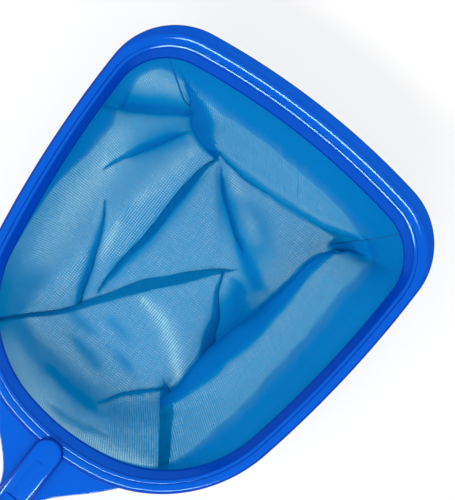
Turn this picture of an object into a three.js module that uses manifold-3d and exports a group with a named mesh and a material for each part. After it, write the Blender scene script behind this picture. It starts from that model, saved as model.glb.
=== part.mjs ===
// Leaf skimmer head: a moulded ring with a wide front lip carries a deep mesh bag.
// The bag's hem is trapped under a clamp ring, and a spigot with a spring clip takes the pole.
// Millimetres, +Z up. +Y points to the front lip, -Y to the pole. The bag's floor lies on z = 0.
import * as THREE from 'three';
import { mergeVertices } from 'three/addons/utils/BufferGeometryUtils.js';
import Module from 'manifold-3d';

// Ring seen from above: lengths run back from the front edge of the lip.
const RING_WIDTH = 415;
const RING_LENGTH = 472;
const WIDEST_AT = 108;
const LIP_RADIUS = 850;
const LIP_CORNER_RADIUS = 84;
const SIDE_RADIUS = 1200;
const SHOULDER_RADIUS = 168;
const BACK_RADIUS = 280;
// Widths of the flange and of the clamp ring, at the lip, the sides and the back.
const LIP_FLANGE = 23.5;
const SIDE_FLANGE = 11;
const BACK_FLANGE = 12;
const CLAMP_FRONT = 15;
const CLAMP_SIDE = 11.5;
const CLAMP_BACK = 15;
// Heights of the ring's section, measured down from the top of the bead.
const RING_TOP = 135;
const BEAD_WIDTH = 6.5;
const SPIGOT_DROP = 9;
const LIP_DROP = 5;
const SIDE_DROP = 2.5;
const FLANGE_THICKNESS = 3;
const SKIRT_THICKNESS = 3;
const SKIRT_DEPTH = 19;
const LEDGE_THICKNESS = 2.6;
const LEDGE_SETBACK = 2;
const CLAMP_TOP = 1;
const CLAMP_SKIN = 2.2;
const CLAMP_RIM_DROP = 9.5;
const CLEARANCE = 0.3;

// Gussets that stiffen the flange from below, on every second station.
const GUSSET_SPACING = 2;
const GUSSET_THICKNESS = 2;
const GUSSET_DEPTH = 13;

// Bag: its cloth, and the seams and hem that hold it.
const CLOTH = 1.6;
const HEM_CLOTH = 1;
const CORD_RADIUS = 1.2;
const SEAM_THICKNESS = 1.2;
const SEAM_SPAN = 0.25;
const SEAM_STANDOFF = 1.35;
const SEAM_GAP = 0.02;

// Slumped shape of the bag as it lies. Each wall slopes from the rim to a break, then drops to its
// foot. Corners are shares of the ring's half width and of its length back from the lip.
const BREAK_HEIGHT = 63;
const BREAK_SHARE = 0.6;
const BREAK_FRONT_RIGHT = [0.6, 0.19];
const BREAK_BACK_RIGHT = [0.39, 0.79];
const BREAK_BACK_LEFT = [-0.651, 0.84];
const BREAK_FRONT_LEFT = [-0.602, 0.204];
const FOOT_HEIGHT = 6;
const FOOT_FRONT_RIGHT = [0.53, 0.208];
const FOOT_BACK_RIGHT = [0.3, 0.775];
const FOOT_BACK_LEFT = [-0.578, 0.825];
const FOOT_FRONT_LEFT = [-0.304, 0.23];

// How far the break and the foot of each wall stand out from the line between their corners.
const FRONT_BREAK_BULGE = -13;
const FRONT_FOOT_BULGE = 0;
const RIGHT_BREAK_BULGE = -18;
const RIGHT_FOOT_BULGE = 17;
const BACK_BREAK_BULGE = 39;
const BACK_FOOT_BULGE = 28;
const LEFT_BREAK_BULGE = 14;
const LEFT_FOOT_BULGE = 14;
// How far the slack of each wall sags below a straight slope, half way along it and at the corners.
const FRONT_SAG = 4;
const RIGHT_SAG = 12;
const BACK_SAG = 11;
const LEFT_SAG = 6;
const CORNER_SAG = 8;

// The floor lies flat in the middle and swells between there and the foot of the walls.
const FLOOR_SWELL = 5;
const FLOOR_PATCH = 0.45;
const SLOPE_ROWS = 3;
const DROP_ROWS = 2;

// Yoke behind the ring, with the raised spine that holds the spigot.
const YOKE_LENGTH = 94;
const YOKE_OVERLAP = 47;
const SOCKET_RADIUS = 19.5;
const SOCKET_LENGTH = 34;
const YOKE_WIDTH = 210;
const YOKE_NECK = 34;
const YOKE_THICKNESS = 4;
const YOKE_DROP = 3.5;
const YOKE_RIM = 3;
const YOKE_HOLLOW_AT = 28;
const SPINE_WIDTH = 34;
const SPINE_RISE = 7;
const SPINE_ROUNDING = 5;
const YOKE_RIB_SPREAD = 0.36;
const YOKE_RIB_COUNT = 4;

// Spigot for a pole of 31.75 mm outside diameter, with its stop shoulder.
const SPIGOT_RADIUS = 14.15;
const SPIGOT_BORE = 11.4;
const SPIGOT_EXPOSED = 107;
const SPIGOT_HIDDEN = 78;
const SHOULDER_RADIUS_OUT = 15.9;
const SHOULDER_AT = 29;
const SHOULDER_WIDTH = 4;
const SPIGOT_CHAMFER = 1.5;

// Spring clip: two legs that spread from a bend, each with a round button and a finger ear.
const BUTTON_RADIUS = 3.1;
const BUTTON_AT = 67;
const BUTTON_REACH = 2.5;
const BUTTON_HOLE_CLEARANCE = 1.4;
const BEND_AT = 98;
const LEG_THICKNESS = 2;
const LEG_HEIGHT = 9;
const LEG_BEND_X = 4;
const LEG_EAR_X = 9;
const EAR_NEAR = 7;
const EAR_FAR = 23;
const EAR_THICKNESS = 4;
const EAR_REACH = 25.5;
const PAD_THICKNESS = 3.2;
const PAD_HEIGHT = 13;
const PAD_OVERHANG = 2;
const PAD_GROOVE = 1;
const PAD_GROOVE_PITCH = 4;
const BUTTON_CHAMFER = 0.8;
const EAR_SLOT_CLEARANCE = 1.2;

// Screws from below: a ring of them through the ledge, and two that hold the spigot.
const RING_SCREW_COUNT = 14;
const SCREW_RADIUS = 1.5;
const SCREW_HEAD_RADIUS = 3;
const SCREW_HEAD_HEIGHT = 1.8;
const RING_SCREW_LENGTH = 8;
const SPIGOT_SCREW_LENGTH = 7;
const SCREW_BOSS_RADIUS = 2.8;
const SPIGOT_SCREWS_AT = [10, 26];
const SCREW_TIP = 1;

// The shoulders are round corners, so the ring's half width limits them.
const SHOULDER_LIMIT = 0.82;

const ARC_STEPS = 7;
const ROUND_STEPS = 28;

const wasm = await Module();
wasm.setup();

// Distances run back from the lip. The origin lies under the middle of the whole head,
// on the surface that the bag rests on.
const SOCKET_MOUTH_AT = RING_LENGTH + YOKE_LENGTH;
const TOTAL_LENGTH = SOCKET_MOUTH_AT + SPIGOT_EXPOSED;
const back = (distance) => TOTAL_LENGTH / 2 - distance;

const plastic = { color: 0x0056c1, roughness: 0.22, metalness: 0 };
const darkPlastic = { color: 0x003f9a, roughness: 0.3, metalness: 0 };
const mesh = { color: 0x3f8fc4, roughness: 0.85, metalness: 0 };
const steel = { color: 0xb9bec4, roughness: 0.35, metalness: 0.9 };

const head = new THREE.Group();

function addPiece(name, geometry, finish) {
  const piece = new THREE.Mesh(geometry, new THREE.MeshStandardMaterial(finish));
  piece.name = name;
  head.add(piece);
  return piece;
}

// Booleans: a closed mesh becomes a solid, and the result becomes a mesh again.
function toSolid(geometry) {
  const bare = geometry.clone();
  for (const name of Object.keys(bare.attributes)) {
    if (name !== 'position') bare.deleteAttribute(name);
  }
  const merged = mergeVertices(bare, 1e-4);
  const vertProperties = new Float32Array(merged.attributes.position.array);
  const triVerts = new Uint32Array(merged.index.array);
  return new wasm.Manifold(new wasm.Mesh({ numProp: 3, vertProperties, triVerts }));
}

function toGeometry(solid) {
  const result = solid.getMesh();
  const geometry = new THREE.BufferGeometry();
  geometry.setAttribute('position', new THREE.BufferAttribute(result.vertProperties, 3));
  geometry.setIndex(new THREE.BufferAttribute(result.triVerts, 1));
  geometry.computeVertexNormals();
  return geometry;
}

const joinAll = (solids) => solids.reduce((whole, solid) => whole.add(solid));
const cutAll = (body, solids) => solids.reduce((rest, solid) => rest.subtract(solid), body);

// A closed outline of five tangent arcs on each side: lip, lip corner, side, shoulder and back.
function tangentCentre(a, ra, b, rb, towardsLip) {
  const span = b.clone().sub(a);
  const length = span.length();
  const along = (ra * ra - rb * rb + length * length) / (2 * length);
  const rise = Math.sqrt(Math.max(ra * ra - along * along, 0));
  const foot = a.clone().addScaledVector(span, along / length);
  const side = new THREE.Vector2(-span.y, span.x).multiplyScalar(rise / length);
  const one = foot.clone().add(side);
  const other = foot.clone().sub(side);
  return (one.y > other.y) === towardsLip ? one : other;
}

function outlinePoints(o, steps = ARC_STEPS) {
  const lip = new THREE.Vector2(0, o.front - o.lipRadius);
  const side = new THREE.Vector2(o.halfWidth - o.sideRadius, o.widest);
  const rear = new THREE.Vector2(0, o.rear + o.backRadius);
  const corner = tangentCentre(
    lip, o.lipRadius - o.cornerRadius, side, o.sideRadius - o.cornerRadius, true);
  const shoulder = tangentCentre(
    rear, o.backRadius - o.shoulderRadius, side, o.sideRadius - o.shoulderRadius, false);
  const heading = (from, to) => Math.atan2(to.y - from.y, to.x - from.x);
  const turns = [Math.PI / 2, heading(lip, corner), heading(side, corner),
    heading(side, shoulder), heading(rear, shoulder), -Math.PI / 2];
  const arcs = [[lip, o.lipRadius], [corner, o.cornerRadius], [side, o.sideRadius],
    [shoulder, o.shoulderRadius], [rear, o.backRadius]];
  const half = [];
  arcs.forEach(([centre, radius], arc) => {
    for (let step = 0; step < steps; step += 1) {
      const angle = THREE.MathUtils.lerp(turns[arc], turns[arc + 1], step / steps);
      half.push(new THREE.Vector2(Math.cos(angle), Math.sin(angle)).multiplyScalar(radius).add(centre));
    }
  });
  half.push(new THREE.Vector2(0, o.rear));
  const mirrored = half.slice(1, -1).reverse().map((p) => new THREE.Vector2(-p.x, p.y));
  return half.concat(mirrored);
}

const outerOutline = {
  halfWidth: RING_WIDTH / 2,
  front: back(0),
  rear: back(RING_LENGTH),
  widest: back(WIDEST_AT),
  lipRadius: LIP_RADIUS,
  cornerRadius: LIP_CORNER_RADIUS,
  sideRadius: SIDE_RADIUS,
  shoulderRadius: Math.min(SHOULDER_RADIUS, SHOULDER_LIMIT * RING_WIDTH / 2),
  backRadius: BACK_RADIUS,
};

// An outline inside another one, set in by its own width at the lip, the sides and the back.
function setIn(o, atLip, atSide, atBack) {
  return {
    halfWidth: o.halfWidth - atSide,
    front: o.front - atLip,
    rear: o.rear + atBack,
    widest: o.widest,
    lipRadius: o.lipRadius - atLip,
    cornerRadius: o.cornerRadius - atSide,
    sideRadius: o.sideRadius - atSide,
    shoulderRadius: o.shoulderRadius - atBack,
    backRadius: o.backRadius - atBack,
  };
}

const seatOutline = setIn(outerOutline, LIP_FLANGE, SIDE_FLANGE, BACK_FLANGE);
const openingOutline = setIn(seatOutline, CLAMP_FRONT, CLAMP_SIDE, CLAMP_BACK);
const seatPoints = outlinePoints(seatOutline);
const stationCount = seatPoints.length;

// Where a line from a point meets an outline.
function meet(outline, from, direction) {
  let nearest = Infinity;
  outline.forEach((start, index) => {
    const edge = outline[(index + 1) % outline.length].clone().sub(start);
    const offset = start.clone().sub(from);
    const across = direction.cross(edge);
    const along = offset.cross(edge) / across;
    const share = offset.cross(direction) / across;
    if (along > 0 && share >= 0 && share <= 1) nearest = Math.min(nearest, along);
  });
  return from.clone().addScaledVector(direction, nearest);
}

// A station is the line across the ring from the opening, over the clamp seat, to the outer edge.
const fineOuter = outlinePoints(outerOutline, ARC_STEPS * 4);
const fineOpening = outlinePoints(openingOutline, ARC_STEPS * 4);

function station(index) {
  const seat = seatPoints[index];
  const before = seatPoints[(index + stationCount - 1) % stationCount];
  const after = seatPoints[(index + 1) % stationCount];
  const outward = new THREE.Vector2(before.y - after.y, after.x - before.x).normalize();
  const opening = meet(fineOpening, seat, outward.clone().negate());
  const outer = meet(fineOuter, seat, outward);
  return { opening, seat, outer, outward };
}

const stations = Array.from({ length: stationCount }, (_, index) => station(index));
const openingPoints = stations.map((s) => s.opening);
const outerPoints = stations.map((s) => s.outer);

// A ring with one closed section, given at each station as [point, height] pairs.
function sweepRing(sectionAt) {
  const rows = stations.map(sectionAt);
  const across = rows[0].length;
  const positions = [];
  rows.forEach((row) => row.forEach(([point, z]) => positions.push(point.x, point.y, z)));
  const index = [];
  for (let i = 0; i < rows.length; i += 1) {
    const next = (i + 1) % rows.length;
    for (let j = 0; j < across; j += 1) {
      const k = (j + 1) % across;
      index.push(i * across + j, next * across + j, i * across + k);
      index.push(i * across + k, next * across + j, next * across + k);
    }
  }
  const geometry = new THREE.BufferGeometry();
  geometry.setAttribute('position', new THREE.Float32BufferAttribute(positions, 3));
  geometry.setIndex(index);
  return geometry;
}

const shifted = (s, from, distance) => from.clone().addScaledVector(s.outward, distance);

// Frame section: bead, flange that falls to a rounded edge, skirt, and the ledge under the hem.
function flangeDrop(s) {
  const width = s.outer.distanceTo(s.seat);
  const share = THREE.MathUtils.smoothstep(width, SIDE_FLANGE, LIP_FLANGE);
  return THREE.MathUtils.lerp(SIDE_DROP, LIP_DROP, share);
}

const ledgeTop = RING_TOP - SKIRT_DEPTH + LEDGE_THICKNESS;

function frameSection(s) {
  const drop = flangeDrop(s);
  const edgeTop = RING_TOP - drop;
  const beadSide = BEAD_WIDTH * 0.22;
  return [
    [shifted(s, s.seat, 0), ledgeTop],
    [shifted(s, s.seat, 0), RING_TOP - beadSide],
    [shifted(s, s.seat, beadSide), RING_TOP - beadSide * 0.25],
    [shifted(s, s.seat, BEAD_WIDTH * 0.5), RING_TOP],
    [shifted(s, s.seat, BEAD_WIDTH * 0.8), RING_TOP - beadSide * 0.3],
    [shifted(s, s.seat, BEAD_WIDTH), RING_TOP - drop * 0.45],
    [shifted(s, s.outer, -FLANGE_THICKNESS), edgeTop],
    [shifted(s, s.outer, -FLANGE_THICKNESS * 0.3), edgeTop - FLANGE_THICKNESS * 0.3],
    [shifted(s, s.outer, 0), edgeTop - FLANGE_THICKNESS],
    [shifted(s, s.outer, -FLANGE_THICKNESS * 0.5), edgeTop - FLANGE_THICKNESS * 1.5],
    [shifted(s, s.outer, -FLANGE_THICKNESS), edgeTop - FLANGE_THICKNESS],
    [shifted(s, s.seat, BEAD_WIDTH * 0.8), RING_TOP - drop * 0.45 - FLANGE_THICKNESS],
    [shifted(s, s.seat, SKIRT_THICKNESS), RING_TOP - FLANGE_THICKNESS * 1.7 - drop * 0.45],
    [shifted(s, s.seat, SKIRT_THICKNESS), RING_TOP - SKIRT_DEPTH],
    [shifted(s, s.opening, LEDGE_SETBACK), RING_TOP - SKIRT_DEPTH],
    [shifted(s, s.opening, LEDGE_SETBACK), ledgeTop],
  ];
}

// Clamp ring: a channel, open below, whose top falls from its bead to the rim of the opening.
const clampFoot = ledgeTop + HEM_CLOTH + 2 * CLEARANCE;
const cordRise = CORD_RADIUS * Math.sin(Math.PI / 3);
const overCord = ledgeTop + 2 * cordRise + 2 * CLEARANCE;

function clampSection(s) {
  const top = RING_TOP - CLAMP_TOP;
  const rim = top - CLAMP_RIM_DROP;
  const width = s.seat.distanceTo(s.opening) - CLEARANCE;
  const at = (share) => shifted(s, s.opening, width * share);
  const skin = CLAMP_SKIN / width;
  return [
    [at(0), clampFoot],
    [at(0), rim - CLAMP_SKIN * 0.7],
    [at(0.05), rim],
    [at(0.3), top - CLAMP_RIM_DROP * 0.55],
    [at(0.58), top - CLAMP_RIM_DROP * 0.16],
    [at(0.75), top],
    [at(0.92), top - CLAMP_SKIN * 0.3],
    [at(1), top - CLAMP_SKIN * 1.1],
    [at(1), overCord],
    [at(1 - skin), overCord],
    [at(1 - skin), top - CLAMP_SKIN * 1.75],
    [at(0.6), top - CLAMP_RIM_DROP * 0.16 - CLAMP_SKIN * 1.4],
    [at(skin + 0.04), rim - CLAMP_SKIN * 1.2],
    [at(skin), clampFoot],
  ];
}

// Hem: the doubled edge of the bag, laid on the ledge and turned up along the skirt.
function hemSection(s) {
  const low = ledgeTop + CLEARANCE;
  const high = low + HEM_CLOTH;
  return [
    [shifted(s, s.opening, 0), low],
    [shifted(s, s.opening, 0), high],
    [shifted(s, s.seat, -CORD_RADIUS * 2 - CLEARANCE * 4), high],
    [shifted(s, s.seat, -CORD_RADIUS * 2 - CLEARANCE * 4), low],
  ];
}

// Cord sewn into the hem's edge, in the corner between the skirt and the ledge.
function cordSection(s) {
  const centre = shifted(s, s.seat, -CORD_RADIUS - CLEARANCE);
  const points = [];
  for (let step = 0; step < 6; step += 1) {
    const angle = -(step * Math.PI) / 3;
    const point = centre.clone().addScaledVector(s.outward, Math.cos(angle) * CORD_RADIUS);
    points.push([point, ledgeTop + CLEARANCE + cordRise + CORD_RADIUS * Math.sin(angle)]);
  }
  return points;
}


// A slab that follows two matching grids of points, one on each face.
function slab(inner, outer) {
  const rows = inner.length;
  const columns = inner[0].length;
  const positions = [];
  [inner, outer].forEach((face) => face.forEach((row) => row.forEach((p) => {
    positions.push(p.x, p.y, p.z);
  })));
  const at = (face, r, c) => face * rows * columns + r * columns + c;
  const index = [];
  const quad = (a, b, c, d) => index.push(a, b, c, a, c, d);
  for (let r = 0; r < rows - 1; r += 1) {
    for (let c = 0; c < columns - 1; c += 1) {
      quad(at(0, r, c), at(0, r + 1, c), at(0, r + 1, c + 1), at(0, r, c + 1));
      quad(at(1, r, c), at(1, r, c + 1), at(1, r + 1, c + 1), at(1, r + 1, c));
    }
  }
  for (let c = 0; c < columns - 1; c += 1) {
    quad(at(0, 0, c), at(0, 0, c + 1), at(1, 0, c + 1), at(1, 0, c));
    quad(at(0, rows - 1, c + 1), at(0, rows - 1, c), at(1, rows - 1, c), at(1, rows - 1, c + 1));
  }
  for (let r = 0; r < rows - 1; r += 1) {
    quad(at(0, r + 1, 0), at(0, r, 0), at(1, r, 0), at(1, r + 1, 0));
    quad(at(0, r, columns - 1), at(0, r + 1, columns - 1),
      at(1, r + 1, columns - 1), at(1, r, columns - 1));
  }
  const geometry = new THREE.BufferGeometry();
  geometry.setAttribute('position', new THREE.Float32BufferAttribute(positions, 3));
  geometry.setIndex(index);
  return geometry;
}

const AXIS_Z = new THREE.Vector3(0, 0, 1);
const spigotHeight = RING_TOP - SPIGOT_DROP;

// A round bar or hole along Y, between two distances back from the lip.
function barAlongY(radius, from, to, x = 0, z = spigotHeight) {
  const geometry = new THREE.CylinderGeometry(radius, radius, to - from, ROUND_STEPS);
  geometry.translate(x, back((from + to) / 2), z);
  return geometry;
}

// A round bar or hole that stands on a point in plan, from one height to another.
function barAlongZ(radius, x, y, low, high, steps = 10) {
  const geometry = new THREE.CylinderGeometry(radius, radius, high - low, steps);
  geometry.rotateX(Math.PI / 2);
  geometry.translate(x, y, (low + high) / 2);
  return geometry;
}

function block(x, y, z, width, length, height) {
  const geometry = new THREE.BoxGeometry(width, length, height);
  geometry.translate(x, y, z);
  return geometry;
}

// A plan outline raised from one height to another, with its edges rounded by a bevel.
function raised(shape, low, high, rounding = 0) {
  const geometry = new THREE.ExtrudeGeometry(shape, {
    depth: high - low - rounding,
    bevelEnabled: rounding > 0,
    bevelSize: rounding,
    bevelThickness: rounding,
    bevelOffset: -rounding,
    bevelSegments: 3,
    curveSegments: 8,
  });
  geometry.translate(0, 0, low);
  return geometry;
}

// Screws: where the ring of them stands, and a pan head with a tapered tip.
const screwHeadTop = RING_TOP - SKIRT_DEPTH - CLEARANCE;

function outlineAt(points, place) {
  const low = Math.floor(place);
  const from = points[((low % points.length) + points.length) % points.length];
  const to = points[(((low + 1) % points.length) + points.length) % points.length];
  return from.clone().lerp(to, place - low);
}

function stationAt(place) {
  const opening = outlineAt(openingPoints, place);
  const seat = outlineAt(seatPoints, place);
  const outer = outlineAt(outerPoints, place);
  return { opening, seat, outer, outward: outer.clone().sub(opening).normalize() };
}

const ringScrews = Array.from({ length: RING_SCREW_COUNT }, (_, number) => {
  const s = stationAt(((number + 0.5) * stationCount) / RING_SCREW_COUNT);
  const width = s.seat.distanceTo(s.opening);
  const cord = 2 * (CORD_RADIUS + CLEARANCE);
  return shifted(s, s.opening, (LEDGE_SETBACK + width - cord) / 2);
});

function screwGeometry(length) {
  const profile = [
    [0, -SCREW_HEAD_HEIGHT],
    [SCREW_HEAD_RADIUS * 0.7, -SCREW_HEAD_HEIGHT],
    [SCREW_HEAD_RADIUS, -SCREW_HEAD_HEIGHT * 0.5],
    [SCREW_HEAD_RADIUS, 0],
    [SCREW_RADIUS, 0],
    [SCREW_RADIUS, length - SCREW_TIP],
    [SCREW_RADIUS * 0.4, length],
    [0, length],
  ];
  const geometry = new THREE.LatheGeometry(profile.map(([r, z]) => new THREE.Vector2(r, z)), 8);
  return geometry.rotateX(Math.PI / 2);
}

// Outer frame: swept ring, gussets, yoke plate, spine and socket in one moulding.
function gusset(s) {
  const width = s.outer.distanceTo(s.seat);
  const drop = flangeDrop(s);
  const profile = new THREE.Shape([
    new THREE.Vector2(SKIRT_THICKNESS * 0.7, -drop * 0.45 - FLANGE_THICKNESS),
    new THREE.Vector2(SKIRT_THICKNESS * 0.7, -GUSSET_DEPTH - FLANGE_THICKNESS),
    new THREE.Vector2(SKIRT_THICKNESS * 1.3, -GUSSET_DEPTH - FLANGE_THICKNESS),
    new THREE.Vector2(width - FLANGE_THICKNESS, -drop - FLANGE_THICKNESS * 1.2),
    new THREE.Vector2(width - FLANGE_THICKNESS, -drop - FLANGE_THICKNESS * 0.4),
  ]);
  const geometry = new THREE.ExtrudeGeometry(profile, { depth: GUSSET_THICKNESS, bevelEnabled: false });
  const outward = new THREE.Vector3(s.outward.x, s.outward.y, 0);
  const along = outward.clone().cross(AXIS_Z);
  geometry.translate(0, 0, -GUSSET_THICKNESS / 2);
  geometry.applyMatrix4(new THREE.Matrix4().makeBasis(outward, AXIS_Z, along));
  geometry.translate(s.seat.x, s.seat.y, RING_TOP);
  return geometry;
}

const yokeTop = RING_TOP - YOKE_DROP;
const yokeFoot = RING_TOP - SKIRT_DEPTH;

// The yoke's edge runs in a hollow curve from the back of the ring to the socket.
function yokeEdge(inset) {
  const start = new THREE.Vector2(YOKE_WIDTH / 2 - inset, back(RING_LENGTH - YOKE_OVERLAP));
  const end = new THREE.Vector2(YOKE_NECK / 2 - inset, back(SOCKET_MOUTH_AT - SOCKET_LENGTH * 0.5));
  const first = new THREE.Vector2(YOKE_WIDTH * 0.3 - inset, back(RING_LENGTH + YOKE_HOLLOW_AT));
  const second = new THREE.Vector2(YOKE_NECK * 0.62 - inset, back(RING_LENGTH + YOKE_HOLLOW_AT));
  return new THREE.CubicBezierCurve(start, first, second, end).getPoints(12);
}

function yokeShape(inset) {
  const right = yokeEdge(inset);
  const left = right.map((p) => new THREE.Vector2(-p.x, p.y)).reverse();
  return new THREE.Shape(right.concat(left));
}

function yokeRims() {
  const edge = yokeEdge(0);
  const inside = yokeEdge(YOKE_RIM).reverse();
  const right = raised(
    new THREE.Shape(edge.concat(inside)), yokeFoot, yokeTop - YOKE_THICKNESS * 0.25);
  const left = right.clone().applyMatrix4(new THREE.Matrix4().makeScale(-1, 1, 1));
  return [toSolid(right), toSolid(flipFaces(left))];
}

function flipFaces(geometry) {
  const flat = geometry.index ? geometry.toNonIndexed() : geometry;
  const p = flat.attributes.position;
  for (let i = 0; i < p.count; i += 3) {
    const x = p.getX(i);
    const y = p.getY(i);
    const z = p.getZ(i);
    p.setXYZ(i, p.getX(i + 1), p.getY(i + 1), p.getZ(i + 1));
    p.setXYZ(i + 1, x, y, z);
  }
  return flat;
}

function yokeRibs() {
  const near = back(RING_LENGTH - BACK_FLANGE / 2);
  const far = back(SOCKET_MOUTH_AT - SOCKET_LENGTH);
  const ribs = [];
  for (let number = 0; number < YOKE_RIB_COUNT; number += 1) {
    const share = number / (YOKE_RIB_COUNT - 1) - 0.5;
    const from = new THREE.Vector2(share * YOKE_WIDTH * 2 * YOKE_RIB_SPREAD, near);
    const to = new THREE.Vector2(share * SPINE_WIDTH * 0.5, far);
    const length = from.distanceTo(to);
    const rib = new THREE.BoxGeometry(GUSSET_THICKNESS, length, yokeTop - yokeFoot - YOKE_THICKNESS / 2);
    rib.rotateZ(Math.atan2(to.x - from.x, from.y - to.y));
    rib.translate((from.x + to.x) / 2, (from.y + to.y) / 2, (yokeTop + yokeFoot) / 2);
    ribs.push(toSolid(rib));
  }
  return ribs;
}

const spineTipAt = RING_LENGTH - BACK_FLANGE * 1.15;
const spineFarAt = SOCKET_MOUTH_AT - SOCKET_LENGTH / 2;

function spine() {
  const radius = SPINE_WIDTH / 2;
  const shape = new THREE.Shape();
  shape.moveTo(radius, back(spineFarAt));
  shape.lineTo(radius, back(spineTipAt + radius));
  shape.absarc(0, back(spineTipAt + radius), radius, 0, Math.PI, false);
  shape.lineTo(-radius, back(spineFarAt));
  const crest = raised(shape, spigotHeight, RING_TOP + SPINE_RISE, SPINE_ROUNDING);
  const keelAt = SOCKET_MOUTH_AT - SPIGOT_HIDDEN - SKIRT_THICKNESS;
  const keel = barAlongY(radius, keelAt, spineFarAt);
  const collar = barAlongY(SOCKET_RADIUS, SOCKET_MOUTH_AT - SOCKET_LENGTH, SOCKET_MOUTH_AT);
  return [crest, keel, collar].map(toSolid);
}

function seatPlug() {
  return toSolid(raised(new THREE.Shape(seatPoints), 0, RING_TOP * 2));
}

function makeOuterFrame() {
  const plate = toSolid(raised(
    yokeShape(0), yokeTop - YOKE_THICKNESS, yokeTop, YOKE_THICKNESS * 0.25));
  const yoke = joinAll([plate, ...yokeRims(), ...yokeRibs(), ...spine()]).subtract(seatPlug());
  const gussets = stations.filter((_, index) => index % GUSSET_SPACING === 1);
  const ring = joinAll([toSolid(sweepRing(frameSection)), ...gussets.map((s) => toSolid(gusset(s)))]);
  const bore = barAlongY(
    SPIGOT_RADIUS + CLEARANCE, SOCKET_MOUTH_AT - SPIGOT_HIDDEN - CLEARANCE, SOCKET_MOUTH_AT + SOCKET_RADIUS);
  const ringHoles = ringScrews.map((p) => barAlongZ(
    SCREW_RADIUS + CLEARANCE, p.x, p.y, 0, RING_TOP));
  const spigotHoles = SPIGOT_SCREWS_AT.map((distance) => barAlongZ(
    SCREW_RADIUS + CLEARANCE, 0, back(SOCKET_MOUTH_AT - distance), 0, spigotHeight));
  const holes = [bore, ...ringHoles, ...spigotHoles].map(toSolid);
  return toGeometry(cutAll(ring.add(yoke), holes));
}

// Clamp ring with the bosses that its screws bite into.
function makeClampRing() {
  const channel = toSolid(sweepRing(clampSection));
  const bossTop = RING_TOP - CLAMP_TOP - CLAMP_RIM_DROP * 0.6;
  const bosses = ringScrews.map((p) => toSolid(barAlongZ(
    SCREW_BOSS_RADIUS, p.x, p.y, clampFoot, bossTop)));
  const pilots = ringScrews.map((p) => toSolid(barAlongZ(
    SCREW_RADIUS + CLEARANCE, p.x, p.y, 0,
    screwHeadTop + RING_SCREW_LENGTH + CLEARANCE)));
  return toGeometry(cutAll(joinAll([channel, ...bosses]), pilots));
}

function makeHem() {
  const holes = ringScrews.map((p) => toSolid(barAlongZ(
    SCREW_RADIUS + CLEARANCE, p.x, p.y, 0, RING_TOP)));
  return toGeometry(cutAll(toSolid(sweepRing(hemSection)), holes));
}

// Bag: four walls that slope in from the rim, break and drop to a smaller floor.
const bagTop = ledgeTop;
const wallInside = -0.7;
const wallOutside = wallInside + CLOTH * 1.4;
const seamPlaces = [
  ARC_STEPS * 1.5,
  ARC_STEPS * 3.5,
  stationCount - ARC_STEPS * 3.5,
  stationCount - ARC_STEPS * 1.5,
];
const [frontRight, backRight, backLeft, frontLeft] = seamPlaces;
const corner = ([across, along]) => new THREE.Vector2(
  (across * RING_WIDTH) / 2, back(along * RING_LENGTH));

const bagWalls = [
  {
    from: frontLeft - stationCount,
    to: frontRight,
    breaks: [corner(BREAK_FRONT_LEFT), corner(BREAK_FRONT_RIGHT), FRONT_BREAK_BULGE],
    feet: [corner(FOOT_FRONT_LEFT), corner(FOOT_FRONT_RIGHT), FRONT_FOOT_BULGE],
    sag: FRONT_SAG,
  },
  {
    from: frontRight,
    to: backRight,
    breaks: [corner(BREAK_FRONT_RIGHT), corner(BREAK_BACK_RIGHT), RIGHT_BREAK_BULGE],
    feet: [corner(FOOT_FRONT_RIGHT), corner(FOOT_BACK_RIGHT), RIGHT_FOOT_BULGE],
    sag: RIGHT_SAG,
  },
  {
    from: backRight,
    to: backLeft,
    breaks: [corner(BREAK_BACK_RIGHT), corner(BREAK_BACK_LEFT), BACK_BREAK_BULGE],
    feet: [corner(FOOT_BACK_RIGHT), corner(FOOT_BACK_LEFT), BACK_FOOT_BULGE],
    sag: BACK_SAG,
  },
  {
    from: backLeft,
    to: frontLeft,
    breaks: [corner(BREAK_BACK_LEFT), corner(BREAK_FRONT_LEFT), LEFT_BREAK_BULGE],
    feet: [corner(FOOT_BACK_LEFT), corner(FOOT_FRONT_LEFT), LEFT_FOOT_BULGE],
    sag: LEFT_SAG,
  },
];

// Distance along the rim from the middle of the lip to a place between two stations.
function rimRun(place) {
  if (place < 0) return -rimRun(-place);
  let run = 0;
  for (let index = 0; index < Math.floor(place); index += 1) {
    run += outlineAt(openingPoints, index).distanceTo(outlineAt(openingPoints, index + 1));
  }
  const last = Math.floor(place);
  return run + outlineAt(openingPoints, last).distanceTo(outlineAt(openingPoints, place));
}

function wallAt(place) {
  const turned = place >= frontLeft ? place - stationCount : place;
  const wall = bagWalls.find(({ from, to }) => turned >= from && turned <= to);
  const start = rimRun(wall.from);
  return { wall, share: (rimRun(turned) - start) / (rimRun(wall.to) - start) };
}

// Rises from 0 at both ends of a run to 1 half way along it.
function middleShare(share) {
  return 4 * share * (1 - share);
}

function alongWall([start, end, bulge], share) {
  const line = end.clone().sub(start);
  const out = new THREE.Vector2(-line.y, line.x).normalize();
  return start.clone().addScaledVector(line, share)
    .addScaledVector(out, bulge * middleShare(share));
}

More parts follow.
